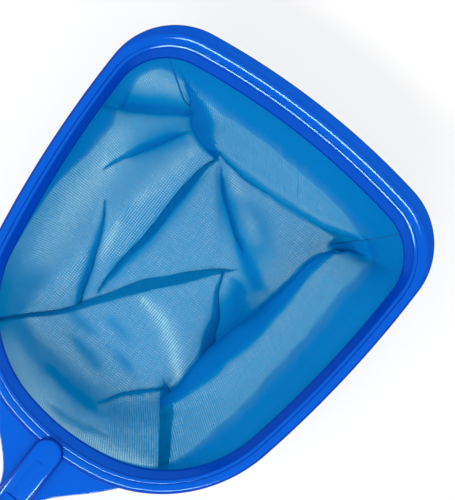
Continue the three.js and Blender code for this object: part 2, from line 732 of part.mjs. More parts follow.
function wallPoint(place, down, outset) {
  const s = stationAt(place);
  const { wall, share } = wallAt(place);
  const rim = shifted(s, s.opening, outset);
  const bend = shifted(s, alongWall(wall.breaks, share), outset);
  const foot = shifted(s, alongWall(wall.feet, share), outset);
  const onSlope = down <= BREAK_SHARE;
  const part = onSlope ? down / BREAK_SHARE : (down - BREAK_SHARE) / (1 - BREAK_SHARE);
  const plan = onSlope ? rim.lerp(bend, part) : bend.lerp(foot, part);
  const sag = THREE.MathUtils.lerp(CORNER_SAG, wall.sag, middleShare(share)) * middleShare(part);
  const height = onSlope
    ? THREE.MathUtils.lerp(bagTop, BREAK_HEIGHT, part) - sag
    : THREE.MathUtils.lerp(BREAK_HEIGHT, FOOT_HEIGHT, part);
  return new THREE.Vector3(plan.x, plan.y, height);
}

function wallGrid(from, to, outset, start = 0) {
  const columns = Math.max(3, Math.ceil((to - from) * 0.8));
  const slope = Array.from({ length: SLOPE_ROWS }, (_, row) => (
    THREE.MathUtils.lerp(start, BREAK_SHARE, row / SLOPE_ROWS)));
  const drop = Array.from({ length: DROP_ROWS + 1 }, (_, row) => (
    THREE.MathUtils.lerp(BREAK_SHARE, 1, row / DROP_ROWS)));
  return [...slope, ...drop].map((down) => Array.from({ length: columns + 1 }, (_, column) => (
    wallPoint(THREE.MathUtils.lerp(from, to, column / columns), down, outset))));
}

function bagWall({ from, to }) {
  return slab(wallGrid(from + SEAM_GAP, to - SEAM_GAP, wallInside),
    wallGrid(from + SEAM_GAP, to - SEAM_GAP, wallOutside));
}

function cornerSeam(place) {
  const from = place - SEAM_SPAN;
  const to = place + SEAM_SPAN;
  const inside = wallOutside + SEAM_STANDOFF;
  const start = (BREAK_SHARE * (bagTop - yokeFoot + CLEARANCE)) / (bagTop - BREAK_HEIGHT);
  return slab(wallGrid(from, to, inside, start),
    wallGrid(from, to, inside + SEAM_THICKNESS, start));
}

// Floor: a flat patch in the middle, and a ring that swells and then rises to the walls' feet.
function floorLines(index) {
  const s = stations[index];
  const { wall, share } = wallAt(index);
  const middle = corner(FOOT_FRONT_RIGHT).add(corner(FOOT_BACK_LEFT)).multiplyScalar(0.5);
  const foot = shifted(s, alongWall(wall.feet, share), wallOutside);
  return { foot, patch: middle.lerp(foot, FLOOR_PATCH) };
}

function floorSection(_, index) {
  const { foot, patch } = floorLines(index);
  const swell = patch.clone().lerp(foot, 0.5);
  const edge = FOOT_HEIGHT - CLEARANCE - CLOTH;
  return [
    [patch, CLOTH],
    [swell, FLOOR_SWELL + CLOTH],
    [foot, edge + CLOTH],
    [foot, edge],
    [swell, FLOOR_SWELL],
    [patch, 0],
  ];
}

function makeFloor() {
  const patch = stations.map((_, index) => floorLines(index).patch);
  return toGeometry(joinAll([
    toSolid(sweepRing(floorSection)),
    toSolid(raised(new THREE.Shape(patch), 0, CLOTH)),
  ]));
}

// Spigot: a tube with a stop shoulder, button holes, ear slots and two screw holes.
function makeSpigot() {
  const inner = SPIGOT_HIDDEN;
  const profile = [
    [SPIGOT_BORE, -inner],
    [SPIGOT_RADIUS - SPIGOT_CHAMFER, -inner],
    [SPIGOT_RADIUS, -inner + SPIGOT_CHAMFER],
    [SPIGOT_RADIUS, SHOULDER_AT],
    [SHOULDER_RADIUS_OUT, SHOULDER_AT + SHOULDER_WIDTH * 0.25],
    [SHOULDER_RADIUS_OUT, SHOULDER_AT + SHOULDER_WIDTH],
    [SPIGOT_RADIUS, SHOULDER_AT + SHOULDER_WIDTH],
    [SPIGOT_RADIUS, SPIGOT_EXPOSED - SPIGOT_CHAMFER],
    [SPIGOT_RADIUS - SPIGOT_CHAMFER, SPIGOT_EXPOSED],
    [SPIGOT_BORE, SPIGOT_EXPOSED],
    [SPIGOT_BORE, -inner],
  ];
  const tube = new THREE.LatheGeometry(
    profile.map(([r, along]) => new THREE.Vector2(r, -along)).reverse(), ROUND_STEPS);
  tube.translate(0, back(SOCKET_MOUTH_AT), spigotHeight);
  const cuts = SPIGOT_SCREWS_AT.map((distance) => barAlongZ(
    SCREW_RADIUS + CLEARANCE, 0, back(SOCKET_MOUTH_AT - distance), 0, spigotHeight));
  const slotLength = EAR_FAR - EAR_NEAR + 2 * EAR_SLOT_CLEARANCE;
  const slotMiddle = back(SOCKET_MOUTH_AT + (EAR_NEAR + EAR_FAR) / 2);
  cuts.push(block(0, slotMiddle, spigotHeight,
    SPIGOT_RADIUS * 3, slotLength, EAR_THICKNESS + EAR_SLOT_CLEARANCE));
  const hole = new THREE.CylinderGeometry(
    BUTTON_RADIUS + BUTTON_HOLE_CLEARANCE, BUTTON_RADIUS + BUTTON_HOLE_CLEARANCE,
    SPIGOT_RADIUS * 3, 20);
  hole.rotateZ(Math.PI / 2);
  hole.translate(0, back(SOCKET_MOUTH_AT + BUTTON_AT), spigotHeight);
  cuts.push(hole);
  return toGeometry(cutAll(toSolid(tube), cuts.map(toSolid)));
}

// Clip leg: a straight spring leg with its round button and the finger ear with a ridged pad.
function makeLeg(side) {
  const root = back(SOCKET_MOUTH_AT + BEND_AT - CLEARANCE);
  const tip = back(SOCKET_MOUTH_AT + EAR_NEAR);
  const legX = (y) => THREE.MathUtils.mapLinear(y, root, tip, LEG_BEND_X, LEG_EAR_X);
  const half = LEG_THICKNESS / 2;
  const outline = new THREE.Shape([
    new THREE.Vector2(LEG_BEND_X - half, root),
    new THREE.Vector2(LEG_BEND_X + half, root),
    new THREE.Vector2(LEG_EAR_X + half, tip),
    new THREE.Vector2(LEG_EAR_X - half, tip),
  ]);
  const leg = raised(outline, spigotHeight - LEG_HEIGHT / 2, spigotHeight + LEG_HEIGHT / 2);
  const earLength = EAR_FAR - EAR_NEAR;
  const earY = back(SOCKET_MOUTH_AT + EAR_NEAR + earLength / 2);
  const ear = block((LEG_EAR_X + EAR_REACH) / 2, earY, spigotHeight,
    EAR_REACH - LEG_EAR_X, earLength, EAR_THICKNESS);
  const pad = block(EAR_REACH - PAD_THICKNESS / 2, earY, spigotHeight,
    PAD_THICKNESS, earLength + PAD_OVERHANG, PAD_HEIGHT);
  const grooves = [-1, 0, 1].map((row) => toSolid(block(
    EAR_REACH, earY + row * PAD_GROOVE_PITCH, spigotHeight, PAD_GROOVE, PAD_GROOVE, PAD_HEIGHT * 2)));
  const buttonY = back(SOCKET_MOUTH_AT + BUTTON_AT);
  const from = legX(buttonY);
  const to = SPIGOT_RADIUS + BUTTON_REACH;
  const button = new THREE.CylinderGeometry(BUTTON_RADIUS - BUTTON_CHAMFER, BUTTON_RADIUS,
    BUTTON_CHAMFER, 20);
  button.translate(0, (to - from) / 2 - BUTTON_CHAMFER / 2, 0);
  const shank = new THREE.CylinderGeometry(BUTTON_RADIUS, BUTTON_RADIUS, to - from - BUTTON_CHAMFER, 20);
  shank.translate(0, -BUTTON_CHAMFER / 2, 0);
  [button, shank].forEach((piece) => {
    piece.rotateZ(-Math.PI / 2);
    piece.translate((from + to) / 2, buttonY, spigotHeight);
  });
  const whole = cutAll(joinAll([leg, ear, pad, shank, button].map(toSolid)), grooves);
  const geometry = toGeometry(whole);
  if (side > 0) return geometry;
  return flipFaces(geometry.applyMatrix4(new THREE.Matrix4().makeScale(-1, 1, 1)));
}

function makeBend() {
  const half = LEG_THICKNESS / 2;
  const y = back(SOCKET_MOUTH_AT + BEND_AT);
  const shape = new THREE.Shape();
  shape.absarc(0, y, LEG_BEND_X + half, Math.PI, Math.PI * 2, false);
  shape.absarc(0, y, LEG_BEND_X - half, Math.PI * 2, Math.PI, true);
  return raised(shape, spigotHeight - LEG_HEIGHT / 2, spigotHeight + LEG_HEIGHT / 2);
}

addPiece('outer_frame', makeOuterFrame(), plastic);
addPiece('clamp_ring', makeClampRing(), plastic);
addPiece('hem_band', makeHem(), mesh);
addPiece('hem_cord', sweepRing(cordSection), mesh);

const [frontWall, rightWall, backWall, leftWall] = bagWalls;
addPiece('bag_front_wall', bagWall(frontWall), mesh);
addPiece('bag_right_wall', bagWall(rightWall), mesh);
addPiece('bag_back_wall', bagWall(backWall), mesh);
addPiece('bag_left_wall', bagWall(leftWall), mesh);
addPiece('bag_floor', makeFloor(), mesh);
addPiece('seam_front_right', cornerSeam(frontRight), mesh);
addPiece('seam_back_right', cornerSeam(backRight), mesh);
addPiece('seam_back_left', cornerSeam(backLeft), mesh);
addPiece('seam_front_left', cornerSeam(frontLeft), mesh);

addPiece('spigot', makeSpigot(), plastic);
addPiece('clip_bend', makeBend(), darkPlastic);
addPiece('clip_left_leg', makeLeg(-1), darkPlastic);
addPiece('clip_right_leg', makeLeg(1), darkPlastic);

ringScrews.forEach((p, number) => {
  const label = String(number + 1).padStart(2, '0');
  const screw = addPiece(`ring_screw_${label}`, screwGeometry(RING_SCREW_LENGTH), steel);
  screw.position.set(p.x, p.y, screwHeadTop);
});

SPIGOT_SCREWS_AT.forEach((distance, number) => {
  const screw = addPiece(`spigot_screw_${number + 1}`, screwGeometry(SPIGOT_SCREW_LENGTH), steel);
  screw.position.set(
    0, back(SOCKET_MOUTH_AT - distance), spigotHeight - SOCKET_RADIUS - CLEARANCE);
});

export default head;
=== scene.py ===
import math

import bmesh
import bpy
import numpy as np
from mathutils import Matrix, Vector


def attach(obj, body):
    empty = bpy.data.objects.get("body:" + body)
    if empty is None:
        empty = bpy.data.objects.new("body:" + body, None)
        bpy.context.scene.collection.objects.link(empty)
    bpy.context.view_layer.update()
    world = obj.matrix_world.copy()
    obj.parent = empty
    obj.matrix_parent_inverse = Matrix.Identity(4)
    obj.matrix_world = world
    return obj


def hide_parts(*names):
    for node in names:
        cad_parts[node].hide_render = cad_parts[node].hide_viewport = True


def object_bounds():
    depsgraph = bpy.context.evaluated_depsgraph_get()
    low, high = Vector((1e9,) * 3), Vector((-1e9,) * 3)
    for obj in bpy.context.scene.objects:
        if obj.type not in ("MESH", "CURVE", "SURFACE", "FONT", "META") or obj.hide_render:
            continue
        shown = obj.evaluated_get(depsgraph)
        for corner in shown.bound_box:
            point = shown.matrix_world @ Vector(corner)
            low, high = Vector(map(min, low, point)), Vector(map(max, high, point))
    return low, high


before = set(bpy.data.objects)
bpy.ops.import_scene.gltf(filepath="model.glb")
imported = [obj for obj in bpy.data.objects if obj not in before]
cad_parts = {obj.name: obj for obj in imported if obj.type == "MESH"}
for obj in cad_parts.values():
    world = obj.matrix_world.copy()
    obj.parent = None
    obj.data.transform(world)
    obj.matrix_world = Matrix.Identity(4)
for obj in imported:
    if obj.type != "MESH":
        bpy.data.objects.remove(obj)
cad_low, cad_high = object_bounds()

# ---------------------------------------------------------------- outer frame
# The ring is one glossy blue moulding: a rounded bead, a flange that widens into the scoop lip,
# a skirt with gussets behind it and a ledge for the bag's hem. It is swept here along the same
# arcs as the CAD ring, with many more steps, and the yoke, spine and socket are joined to it.
MM = 0.001
RING_WIDTH, RING_LENGTH, WIDEST_AT = 415 * MM, 472 * MM, 108 * MM
LIP_ARC, LIP_CORNER_ARC, SIDE_ARC, SHOULDER_ARC, BACK_ARC = (
    850 * MM, 84 * MM, 1200 * MM, 168 * MM, 280 * MM)
LIP_FLANGE, SIDE_FLANGE, BACK_FLANGE = 23.5 * MM, 11 * MM, 12 * MM
CLAMP_FRONT, CLAMP_SIDE, CLAMP_BACK = 15 * MM, 11.5 * MM, 15 * MM
RING_TOP = 135 * MM
FRONT_Y = cad_high.y
ARC_STEPS = 40


def tangent_centre(a, ra, b, rb, towards_lip):
    """Centre of the arc that touches two others, at distances ra and rb from their centres."""
    span = b - a
    along_span = (ra * ra - rb * rb + span.length_squared) / (2 * span.length)
    rise = math.sqrt(max(ra * ra - along_span * along_span, 0))
    foot = a + span * (along_span / span.length)
    side = Vector((-span.y, span.x)) * (rise / span.length)
    one, other = foot + side, foot - side
    return one if (one.y > other.y) == towards_lip else other


def direction(start, end):
    """The angle of the line from one centre to another."""
    return math.atan2(end.y - start.y, end.x - start.x)


def outline(inset_lip, inset_side, inset_back):
    """The ring's outline, clockwise from the lip's middle, set in from its outer edge."""
    lip_arc, corner_arc = LIP_ARC - inset_lip, LIP_CORNER_ARC - inset_side
    side_arc = SIDE_ARC - inset_side
    shoulder_arc, back_arc = SHOULDER_ARC - inset_back, BACK_ARC - inset_back
    rear = FRONT_Y - RING_LENGTH + inset_back
    lip = Vector((0, FRONT_Y - inset_lip - lip_arc))
    side = Vector((RING_WIDTH / 2 - inset_side - side_arc, FRONT_Y - WIDEST_AT))
    back = Vector((0, rear + back_arc))
    corner = tangent_centre(lip, lip_arc - corner_arc, side, side_arc - corner_arc, True)
    shoulder = tangent_centre(back, back_arc - shoulder_arc, side, side_arc - shoulder_arc, False)
    turns = [math.pi / 2, direction(lip, corner), direction(side, corner),
             direction(side, shoulder), direction(back, shoulder), -math.pi / 2]
    arcs = [(lip, lip_arc), (corner, corner_arc), (side, side_arc),
            (shoulder, shoulder_arc), (back, back_arc)]
    half = []
    for arc, (centre, radius) in enumerate(arcs):
        for step in range(ARC_STEPS):
            turn = turns[arc] + (turns[arc + 1] - turns[arc]) * step / ARC_STEPS
            half.append((centre.x + radius * math.cos(turn), centre.y + radius * math.sin(turn)))
    half.append((0, rear))
    return np.array(half + [(-x, y) for x, y in half[-2:0:-1]])


def run_along(points):
    """The distance along a line from its first point to each of its points."""
    return np.concatenate([[0], np.cumsum(np.linalg.norm(np.diff(points, axis=0), axis=1))])


def read_off(places, run, values):
    """Every column of the values at some places along a run."""
    return np.stack([np.interp(places, run, column) for column in values.T], axis=-1)


def resampled(points, count):
    """The closed outline with evenly spaced points, starting at the lip's middle."""
    closed = np.vstack([points, points[:1]])
    run = run_along(closed)
    return read_off(np.linspace(0, run[-1], count, endpoint=False), run, closed)


def meet(points, origins, headings):
    """Where the line from each origin along its heading meets the closed outline."""
    edge = np.roll(points, -1, axis=0) - points
    hits = []
    for origin, heading in zip(origins, headings):
        across = heading[0] * edge[:, 1] - heading[1] * edge[:, 0]
        offset = points - origin
        reach = (offset[:, 0] * edge[:, 1] - offset[:, 1] * edge[:, 0]) / across
        share = (offset[:, 0] * heading[1] - offset[:, 1] * heading[0]) / across
        good = (reach > -1e-6) & (share >= -1e-9) & (share <= 1 + 1e-9)
        hits.append(origin + heading * reach[good].min())
    return np.array(hits)


STATIONS = 480
seat_line = resampled(outline(LIP_FLANGE, SIDE_FLANGE, BACK_FLANGE), STATIONS)
tangents = np.roll(seat_line, -1, axis=0) - np.roll(seat_line, 1, axis=0)
outward = np.stack([-tangents[:, 1], tangents[:, 0]], axis=1)
outward /= np.linalg.norm(outward, axis=1)[:, None]
outer_line = meet(outline(0, 0, 0), seat_line, outward)
opening_line = meet(
    outline(LIP_FLANGE + CLAMP_FRONT, SIDE_FLANGE + CLAMP_SIDE, BACK_FLANGE + CLAMP_BACK),
    seat_line, -outward)
flange_width = np.linalg.norm(outer_line - seat_line, axis=1)
clamp_width = np.linalg.norm(opening_line - seat_line, axis=1)
lip_share = np.clip((flange_width - SIDE_FLANGE) / (LIP_FLANGE - SIDE_FLANGE), 0, 1)
lip_share = lip_share * lip_share * (3 - 2 * lip_share)


def new_piece(name, points, faces, sharp_angle=None):
    """A piece at the origin from its points and faces, smooth apart from edges over the angle."""
    mesh = bpy.data.meshes.new(name)
    mesh.from_pydata([tuple(p) for p in points], [], [tuple(f) for f in faces])
    mesh.update()
    mesh.shade_smooth()
    if sharp_angle:
        mesh.set_sharp_from_angle(angle=math.radians(sharp_angle))
    piece = bpy.data.objects.new(name, mesh)
    bpy.context.scene.collection.objects.link(piece)
    return piece


def rounded(corners, radii, steps=5):
    """A closed section with rounded corners; each corner is one (distance, height) per station."""
    section = []
    for i, radius in enumerate(radii):
        here = corners[i]
        before, after = corners[i - 1] - here, corners[(i + 1) % len(corners)] - here
        if radius == 0:
            section.append(here)
            continue
        back_off = np.minimum(radius / np.linalg.norm(before, axis=-1), 0.48)[:, None]
        go_on = np.minimum(radius / np.linalg.norm(after, axis=-1), 0.48)[:, None]
        start, end = here + before * back_off, here + after * go_on
        for step in range(steps + 1):
            t = step / steps
            section.append(start * (1 - t) ** 2 + here * 2 * t * (1 - t) + end * t * t)
    return np.array(section)


def grid_faces(rows, columns, last_joins_first=True):
    """Faces between rows of points, where every row is closed on itself."""
    faces = []
    for i in range(rows if last_joins_first else rows - 1):
        following = (i + 1) % rows
        for j in range(columns):
            k = (j + 1) % columns
            faces.append((i * columns + j, i * columns + k,
                          following * columns + k, following * columns + j))
    return faces


def swept(section):
    """Points and faces of a closed ring from its section at every station."""
    count = len(section)
    points = np.empty((STATIONS, count, 3))
    for j in range(count):
        points[:, j, :2] = seat_line + outward * section[j][:, :1]
        points[:, j, 2] = section[j][:, 1]
    return points.reshape(-1, 3), [(a, d, c, b) for a, b, c, d in grid_faces(STATIONS, count)]


def at(distance, height):
    """A corner of a section: its distance out from the seat line and its height, at every station."""
    return np.stack([np.broadcast_to(distance, STATIONS), np.broadcast_to(height, STATIONS)], axis=1)


BEAD = 6.5 * MM
FLANGE = 3 * MM
SKIRT, SKIRT_DEPTH = 3 * MM, 19 * MM
LEDGE, LEDGE_SETBACK = 2.6 * MM, 2 * MM
flange_drop = (2.5 + 2.5 * lip_share) * MM
edge_top = RING_TOP - flange_drop
crown = BEAD * 0.4 + 5.2 * MM * lip_share
# The section runs up the inside of the bead, over its crown, out along the flange, round the
# turned-down edge, back underneath to the skirt, and down it to the ledge.
frame_corners = [
    at(0, RING_TOP - SKIRT_DEPTH + LEDGE),
    at(0, RING_TOP - 1.7 * MM),
    at(crown - 2.2 * MM, RING_TOP - 0.95 * MM),
    at(crown, RING_TOP),
    at(crown + 2.4 * MM, RING_TOP - 0.1 * MM),
    at(crown + 5 * MM, RING_TOP - flange_drop * (0.08 + 0.22 * lip_share)),
    at(flange_width * 0.72 + BEAD * 0.28, RING_TOP - flange_drop * 0.72),
    at(flange_width - 0.5 * MM, edge_top - 0.1 * MM),
    at(flange_width, edge_top - FLANGE * 0.9),
    at(flange_width - 2.2 * MM, edge_top - FLANGE * 1.35),
    at(BEAD * 0.8, RING_TOP - flange_drop * 0.45 - FLANGE),
    at(SKIRT, RING_TOP - flange_drop * 0.45 - FLANGE * 1.7),
    at(SKIRT, RING_TOP - SKIRT_DEPTH),
    at(LEDGE_SETBACK - clamp_width, RING_TOP - SKIRT_DEPTH),
    at(LEDGE_SETBACK - clamp_width, RING_TOP - SKIRT_DEPTH + LEDGE),
]
frame_rounding = np.array([0, 0.2, 0.5, 0.9, 1.6, 1.2, 3, 1.6, 1.2, 1, 1, 1, 0.6, 0.8, 0.8]) * MM
ring_points, ring_faces = swept(rounded(frame_corners, frame_rounding))

# The yoke is a thin plate with a hollow edge, stiffened by a rim on each side and by ribs below.
# The spine lies on it, and the socket under it takes the spigot.
YOKE_LENGTH, YOKE_OVERLAP, YOKE_WIDTH, YOKE_NECK = 94 * MM, 47 * MM, 210 * MM, 34 * MM
YOKE_TOP, YOKE_THICKNESS, YOKE_HOLLOW = RING_TOP - 3.5 * MM, 4 * MM, 28 * MM
SOCKET_RADIUS, SOCKET_LENGTH, SOCKET_BORE = 19.5 * MM, 34 * MM, 14.45 * MM
SPINE_WIDTH, SPINE_RISE, SPINE_ROUNDING = 34 * MM, 7 * MM, 5 * MM
AXIS_HEIGHT = RING_TOP - 9 * MM
RING_BACK = FRONT_Y - RING_LENGTH
MOUTH_Y = RING_BACK - YOKE_LENGTH


def yoke_edge(inset, steps=30):
    """The hollow curve of the yoke's right edge, from beside the ring to the socket."""
    knots = [Vector((YOKE_WIDTH / 2 - inset, RING_BACK + YOKE_OVERLAP)),
             Vector((YOKE_WIDTH * 0.3 - inset, RING_BACK - YOKE_HOLLOW)),
             Vector((YOKE_NECK * 0.62 - inset, RING_BACK - YOKE_HOLLOW)),
             Vector((YOKE_NECK / 2 - inset, MOUTH_Y + SOCKET_LENGTH / 2))]
    curve = []
    for step in range(steps + 1):
        t = step / steps
        weights = ((1 - t) ** 3, 3 * t * (1 - t) ** 2, 3 * t * t * (1 - t), t ** 3)
        curve.append(sum((knot * weight for knot, weight in zip(knots, weights)), Vector((0, 0))))
    return curve


def raised(shape, low, high, rounding=0.0, steps=5):
    """Points and faces of a flat shape raised from low to high, its upper edge rounded."""
    blank = bmesh.new()
    bottom = blank.faces.new([blank.verts.new((x, y, low)) for x, y in shape])
    top = bmesh.ops.extrude_face_region(blank, geom=[bottom])["geom"]
    moved = [item for item in top if isinstance(item, bmesh.types.BMVert)]
    bmesh.ops.translate(blank, verts=moved, vec=(0, 0, high - low))
    bmesh.ops.recalc_face_normals(blank, faces=blank.faces)
    if rounding:
        rim = [edge for edge in blank.edges
               if all(abs(v.co.z - high) < 1e-6 for v in edge.verts)]
        bmesh.ops.bevel(blank, geom=rim, offset=rounding, segments=steps, profile=0.5,
                        affect="EDGES", clamp_overlap=True)
    blank.verts.index_update()
    points = np.array([v.co[:] for v in blank.verts])
    faces = [[v.index for v in face.verts] for face in blank.faces]
    blank.free()
    return points, faces


def turned(profile, height=AXIS_HEIGHT, steps=48):
    """Points and faces of a closed profile of (radius, y) turned about the spigot's axis."""
    points = []
    for step in range(steps):
        turn = math.tau * step / steps
        points += [(r * math.cos(turn), y, height + r * math.sin(turn)) for r, y in profile]
    return np.array(points), grid_faces(steps, len(profile))


RIB_COUNT, RIB_HALF, RIB_SPREAD = 4, 1 * MM, 0.72
RIM_WIDTH, RIM_ROUNDING, PLATE_SUNK = 3.4 * MM, 1.1 * MM, 0.3 * MM
edge = yoke_edge(0)
along_ring = [Vector(tuple(p)) for p in (seat_line + outward * SKIRT * 0.6)
              if abs(p[0]) < YOKE_WIDTH / 2 - 1 * MM and p[1] < RING_BACK + YOKE_OVERLAP * 1.4]
along_ring.sort(key=lambda p: -p.x)
inner_edge = yoke_edge(1.2 * MM)
spine_end = MOUTH_Y + SOCKET_LENGTH / 2
plate_x = np.linspace(-YOKE_WIDTH / 2 + 1.4 * MM, YOKE_WIDTH / 2 - 1.4 * MM, 140)
ring_side = np.interp(plate_x, [p.x for p in reversed(along_ring)], [p.y for p in reversed(along_ring)])
far_side = np.interp(np.abs(plate_x), [p.x for p in reversed(inner_edge)],
                     [p.y for p in reversed(inner_edge)], left=spine_end)
far_side = np.minimum(far_side, ring_side - 0.2 * MM)
plate_points = [(x, y, z) for x, near_y, far_y in zip(plate_x, ring_side, far_side)
                for y, z in ((near_y, YOKE_TOP - PLATE_SUNK), (far_y, YOKE_TOP - PLATE_SUNK),
                             (far_y, YOKE_TOP - YOKE_THICKNESS), (near_y, YOKE_TOP - YOKE_THICKNESS))]
plate_faces = [(a, d, c, b) for a, b, c, d in grid_faces(len(plate_x), 4, last_joins_first=False)]
plate_faces += [(0, 1, 2, 3), tuple(4 * len(plate_x) - 1 - j for j in range(4))]
plate = (np.array(plate_points), plate_faces)
# The first steps of the curve lie inside the ring, so the rims start past them.
rim_outside, rim_inside = edge[3:], yoke_edge(RIM_WIDTH)[3:]
rims = [raised([Vector((side * p.x, p.y)) for p in rim_outside]
               + [Vector((side * p.x, p.y)) for p in reversed(rim_inside)],
               RING_TOP - SKIRT_DEPTH, YOKE_TOP, RIM_ROUNDING, 3) for side in (1, -1)]
ribs = []
for number in range(RIB_COUNT):
    spread = number / (RIB_COUNT - 1) - 0.5
    near = Vector((spread * YOKE_WIDTH * RIB_SPREAD, RING_BACK + BACK_FLANGE / 2))
    far = Vector((spread * SPINE_WIDTH * 0.5, MOUTH_Y + SOCKET_LENGTH))
    half = Vector((near.y - far.y, far.x - near.x)).normalized() * RIB_HALF
    ribs.append(raised([near - half, near + half, far + half, far - half],
                       RING_TOP - SKIRT_DEPTH, YOKE_TOP - YOKE_THICKNESS / 2))
spine_tip = RING_BACK + BACK_FLANGE * 1.15
half_width = SPINE_WIDTH / 2
spine_shape = [Vector((half_width * math.cos(turn), spine_tip - half_width + half_width * math.sin(turn)))
               for turn in np.linspace(0, math.pi, 40)]
spine_shape += [Vector((-half_width, spine_end)), Vector((half_width, spine_end))]
spine = raised(spine_shape, AXIS_HEIGHT, RING_TOP + SPINE_RISE, SPINE_ROUNDING, 7)
SPIGOT_HIDDEN = 78 * MM
keel_y = MOUTH_Y + SPIGOT_HIDDEN + SKIRT
keel = turned([(half_width - 1.5 * MM, keel_y), (half_width, keel_y - 1.5 * MM), (half_width, spine_end),
               (SOCKET_BORE, spine_end), (SOCKET_BORE, MOUTH_Y + SPIGOT_HIDDEN),
               (0.1 * MM, MOUTH_Y + SPIGOT_HIDDEN), (0.1 * MM, keel_y)])
socket_far = MOUTH_Y + SOCKET_LENGTH
socket = turned([(SOCKET_RADIUS - 2 * MM, socket_far), (SOCKET_RADIUS - 0.6 * MM, socket_far - 0.6 * MM),
                 (SOCKET_RADIUS, socket_far - 2 * MM), (SOCKET_RADIUS, MOUTH_Y + 1.5 * MM),
                 (SOCKET_RADIUS - 0.5 * MM, MOUTH_Y + 0.5 * MM), (SOCKET_RADIUS - 1.5 * MM, MOUTH_Y),
                 (SOCKET_BORE + 0.8 * MM, MOUTH_Y), (SOCKET_BORE, MOUTH_Y + 0.8 * MM),
                 (SOCKET_BORE, socket_far)])


def together(parts):
    """Several lots of points and faces as one."""
    points, faces, start = [], [], 0
    for part_points, part_faces in parts:
        points.append(np.asarray(part_points))
        faces += [tuple(index + start for index in face) for face in part_faces]
        start += len(part_points)
    return np.vstack(points), faces


outer_ring = new_piece("outer_frame_ring", *together(
    [(ring_points, ring_faces), plate, *rims, *ribs, spine, keel, socket]), sharp_angle=38)


def connect(tree, socket, value):
    """Links another node's output to a socket, or sets the socket to a plain value."""
    if isinstance(value, bpy.types.NodeSocket):
        tree.links.new(value, socket)
    else:
        socket.default_value = value


def feed(tree, node, **inputs):
    """Links or sets a node's inputs; an underscore in a name stands for a space."""
    for name, value in inputs.items():
        connect(tree, node.inputs[name.replace("_", " ")], value)


def add_node(tree, kind, **inputs):
    """A new node with its inputs linked or set."""
    node = tree.nodes.new(kind)
    feed(tree, node, **inputs)
    return node


def sum_of(tree, operation, *values, clamp=False):
    """The outcome of one operation on outputs of nodes and plain numbers."""
    node = tree.nodes.new("ShaderNodeMath")
    node.operation, node.use_clamp = operation, clamp
    for socket, value in zip(node.inputs, values):
        connect(tree, socket, value)
    return node.outputs[0]


def mixed_colour(tree, **inputs):
    """A colour between A and B."""
    node = tree.nodes.new("ShaderNodeMix")
    node.data_type = "RGBA"
    feed(tree, node, **inputs)
    return node.outputs["Result"]


def fine_relief(tree, height, strength, distance):
    """A normal that follows fine bumps of a height."""
    node = add_node(tree, "ShaderNodeBump", Height=height, Strength=strength, Distance=distance)
    return node.outputs["Normal"]


def node_group(name, tree_kind, inputs, outputs):
    """A node group with its named sockets, and the nodes that hold its inputs and outputs."""
    group = bpy.data.node_groups.new(name, tree_kind)
    for in_out, sockets in (("INPUT", inputs), ("OUTPUT", outputs)):
        for socket_name, kind in sockets.items():
            group.interface.new_socket(socket_name, in_out=in_out, socket_type="NodeSocket" + kind)
    return group, group.nodes.new("NodeGroupInput"), group.nodes.new("NodeGroupOutput")


def new_material(name):
    """A new material with its node tree and its main shader."""
    material = bpy.data.materials.new(name)
    material.use_nodes = True
    return material, material.node_tree, material.node_tree.nodes["Principled BSDF"]


def glossy_group():
    """Colour, gloss and ripple of moulded plastic from object coordinates, with painted shade on slants."""
    group, entry, leave = node_group(
        "moulded_plastic", "ShaderNodeTree",
        {"Place": "Vector", "Lit": "Color", "Deep": "Color", "Slant": "Float", "Roughness": "Float"},
        {"Colour": "Color", "Roughness": "Float", "Normal": "Vector"})
    place = entry.outputs["Place"]
    mottle = add_node(group, "ShaderNodeTexNoise", Vector=place, Scale=14, Detail=3)
    scuffs = add_node(group, "ShaderNodeTexNoise", Vector=place, Scale=260, Detail=5)
    # Painted shade: where the surface slants away from the eye, the colour goes from the lit one to the
    # shaded one.
    depth = add_node(group, "ShaderNodeMapRange", Value=entry.outputs["Slant"],
                     From_Min=0.04, From_Max=0.42)
    depth.interpolation_type = "SMOOTHSTEP"
    tint = mixed_colour(group, Factor=depth.outputs["Result"],
                        A=entry.outputs["Lit"], B=entry.outputs["Deep"])
    level = add_node(group, "ShaderNodeMapRange", Value=mottle.outputs["Fac"], To_Min=0.94, To_Max=1.06)
    shade = add_node(group, "ShaderNodeHueSaturation", Color=tint, Value=level.outputs["Result"])
    gloss = add_node(group, "ShaderNodeMapRange", Value=scuffs.outputs["Fac"],
                     From_Min=0.35, From_Max=0.7, To_Min=0.85, To_Max=1.3)
    feed(group, leave, Colour=shade.outputs["Color"],
         Roughness=sum_of(group, "MULTIPLY", gloss.outputs["Result"], entry.outputs["Roughness"]),
         Normal=fine_relief(group, mottle.outputs["Fac"], 0.25, 0.9 * MM))
    return group


moulded_plastic = glossy_group()


def plastic_material(name, lit, shaded, roughness, highlight=(0.35, 0.6, 1.0)):
    """Glossy moulded plastic with painted shade: its colour darkens where it turns away from the eye."""
    material, tree, shader = new_material(name)
    where = add_node(tree, "ShaderNodeTexCoord")
    slant = add_node(tree, "ShaderNodeLayerWeight", Blend=0.5)
    finish = tree.nodes.new("ShaderNodeGroup")
    finish.node_tree = moulded_plastic
    feed(tree, finish, Lit=(*lit, 1), Deep=(*shaded, 1), Roughness=roughness,
         Place=where.outputs["Object"], Slant=slant.outputs["Facing"])
    feed(tree, shader, Base_Color=finish.outputs["Colour"], Roughness=finish.outputs["Roughness"],
         Normal=finish.outputs["Normal"], IOR=1.46, Specular_Tint=(*highlight, 1))
    return material


# The second colour of each plastic is the painted shade it takes where it slants away.
frame_blue = plastic_material("frame_blue", (0.0, 0.088, 0.54), (0.0, 0.03, 0.36), 0.1)
outer_ring.data.materials.append(frame_blue)
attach(outer_ring, "head")
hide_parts("outer_frame")


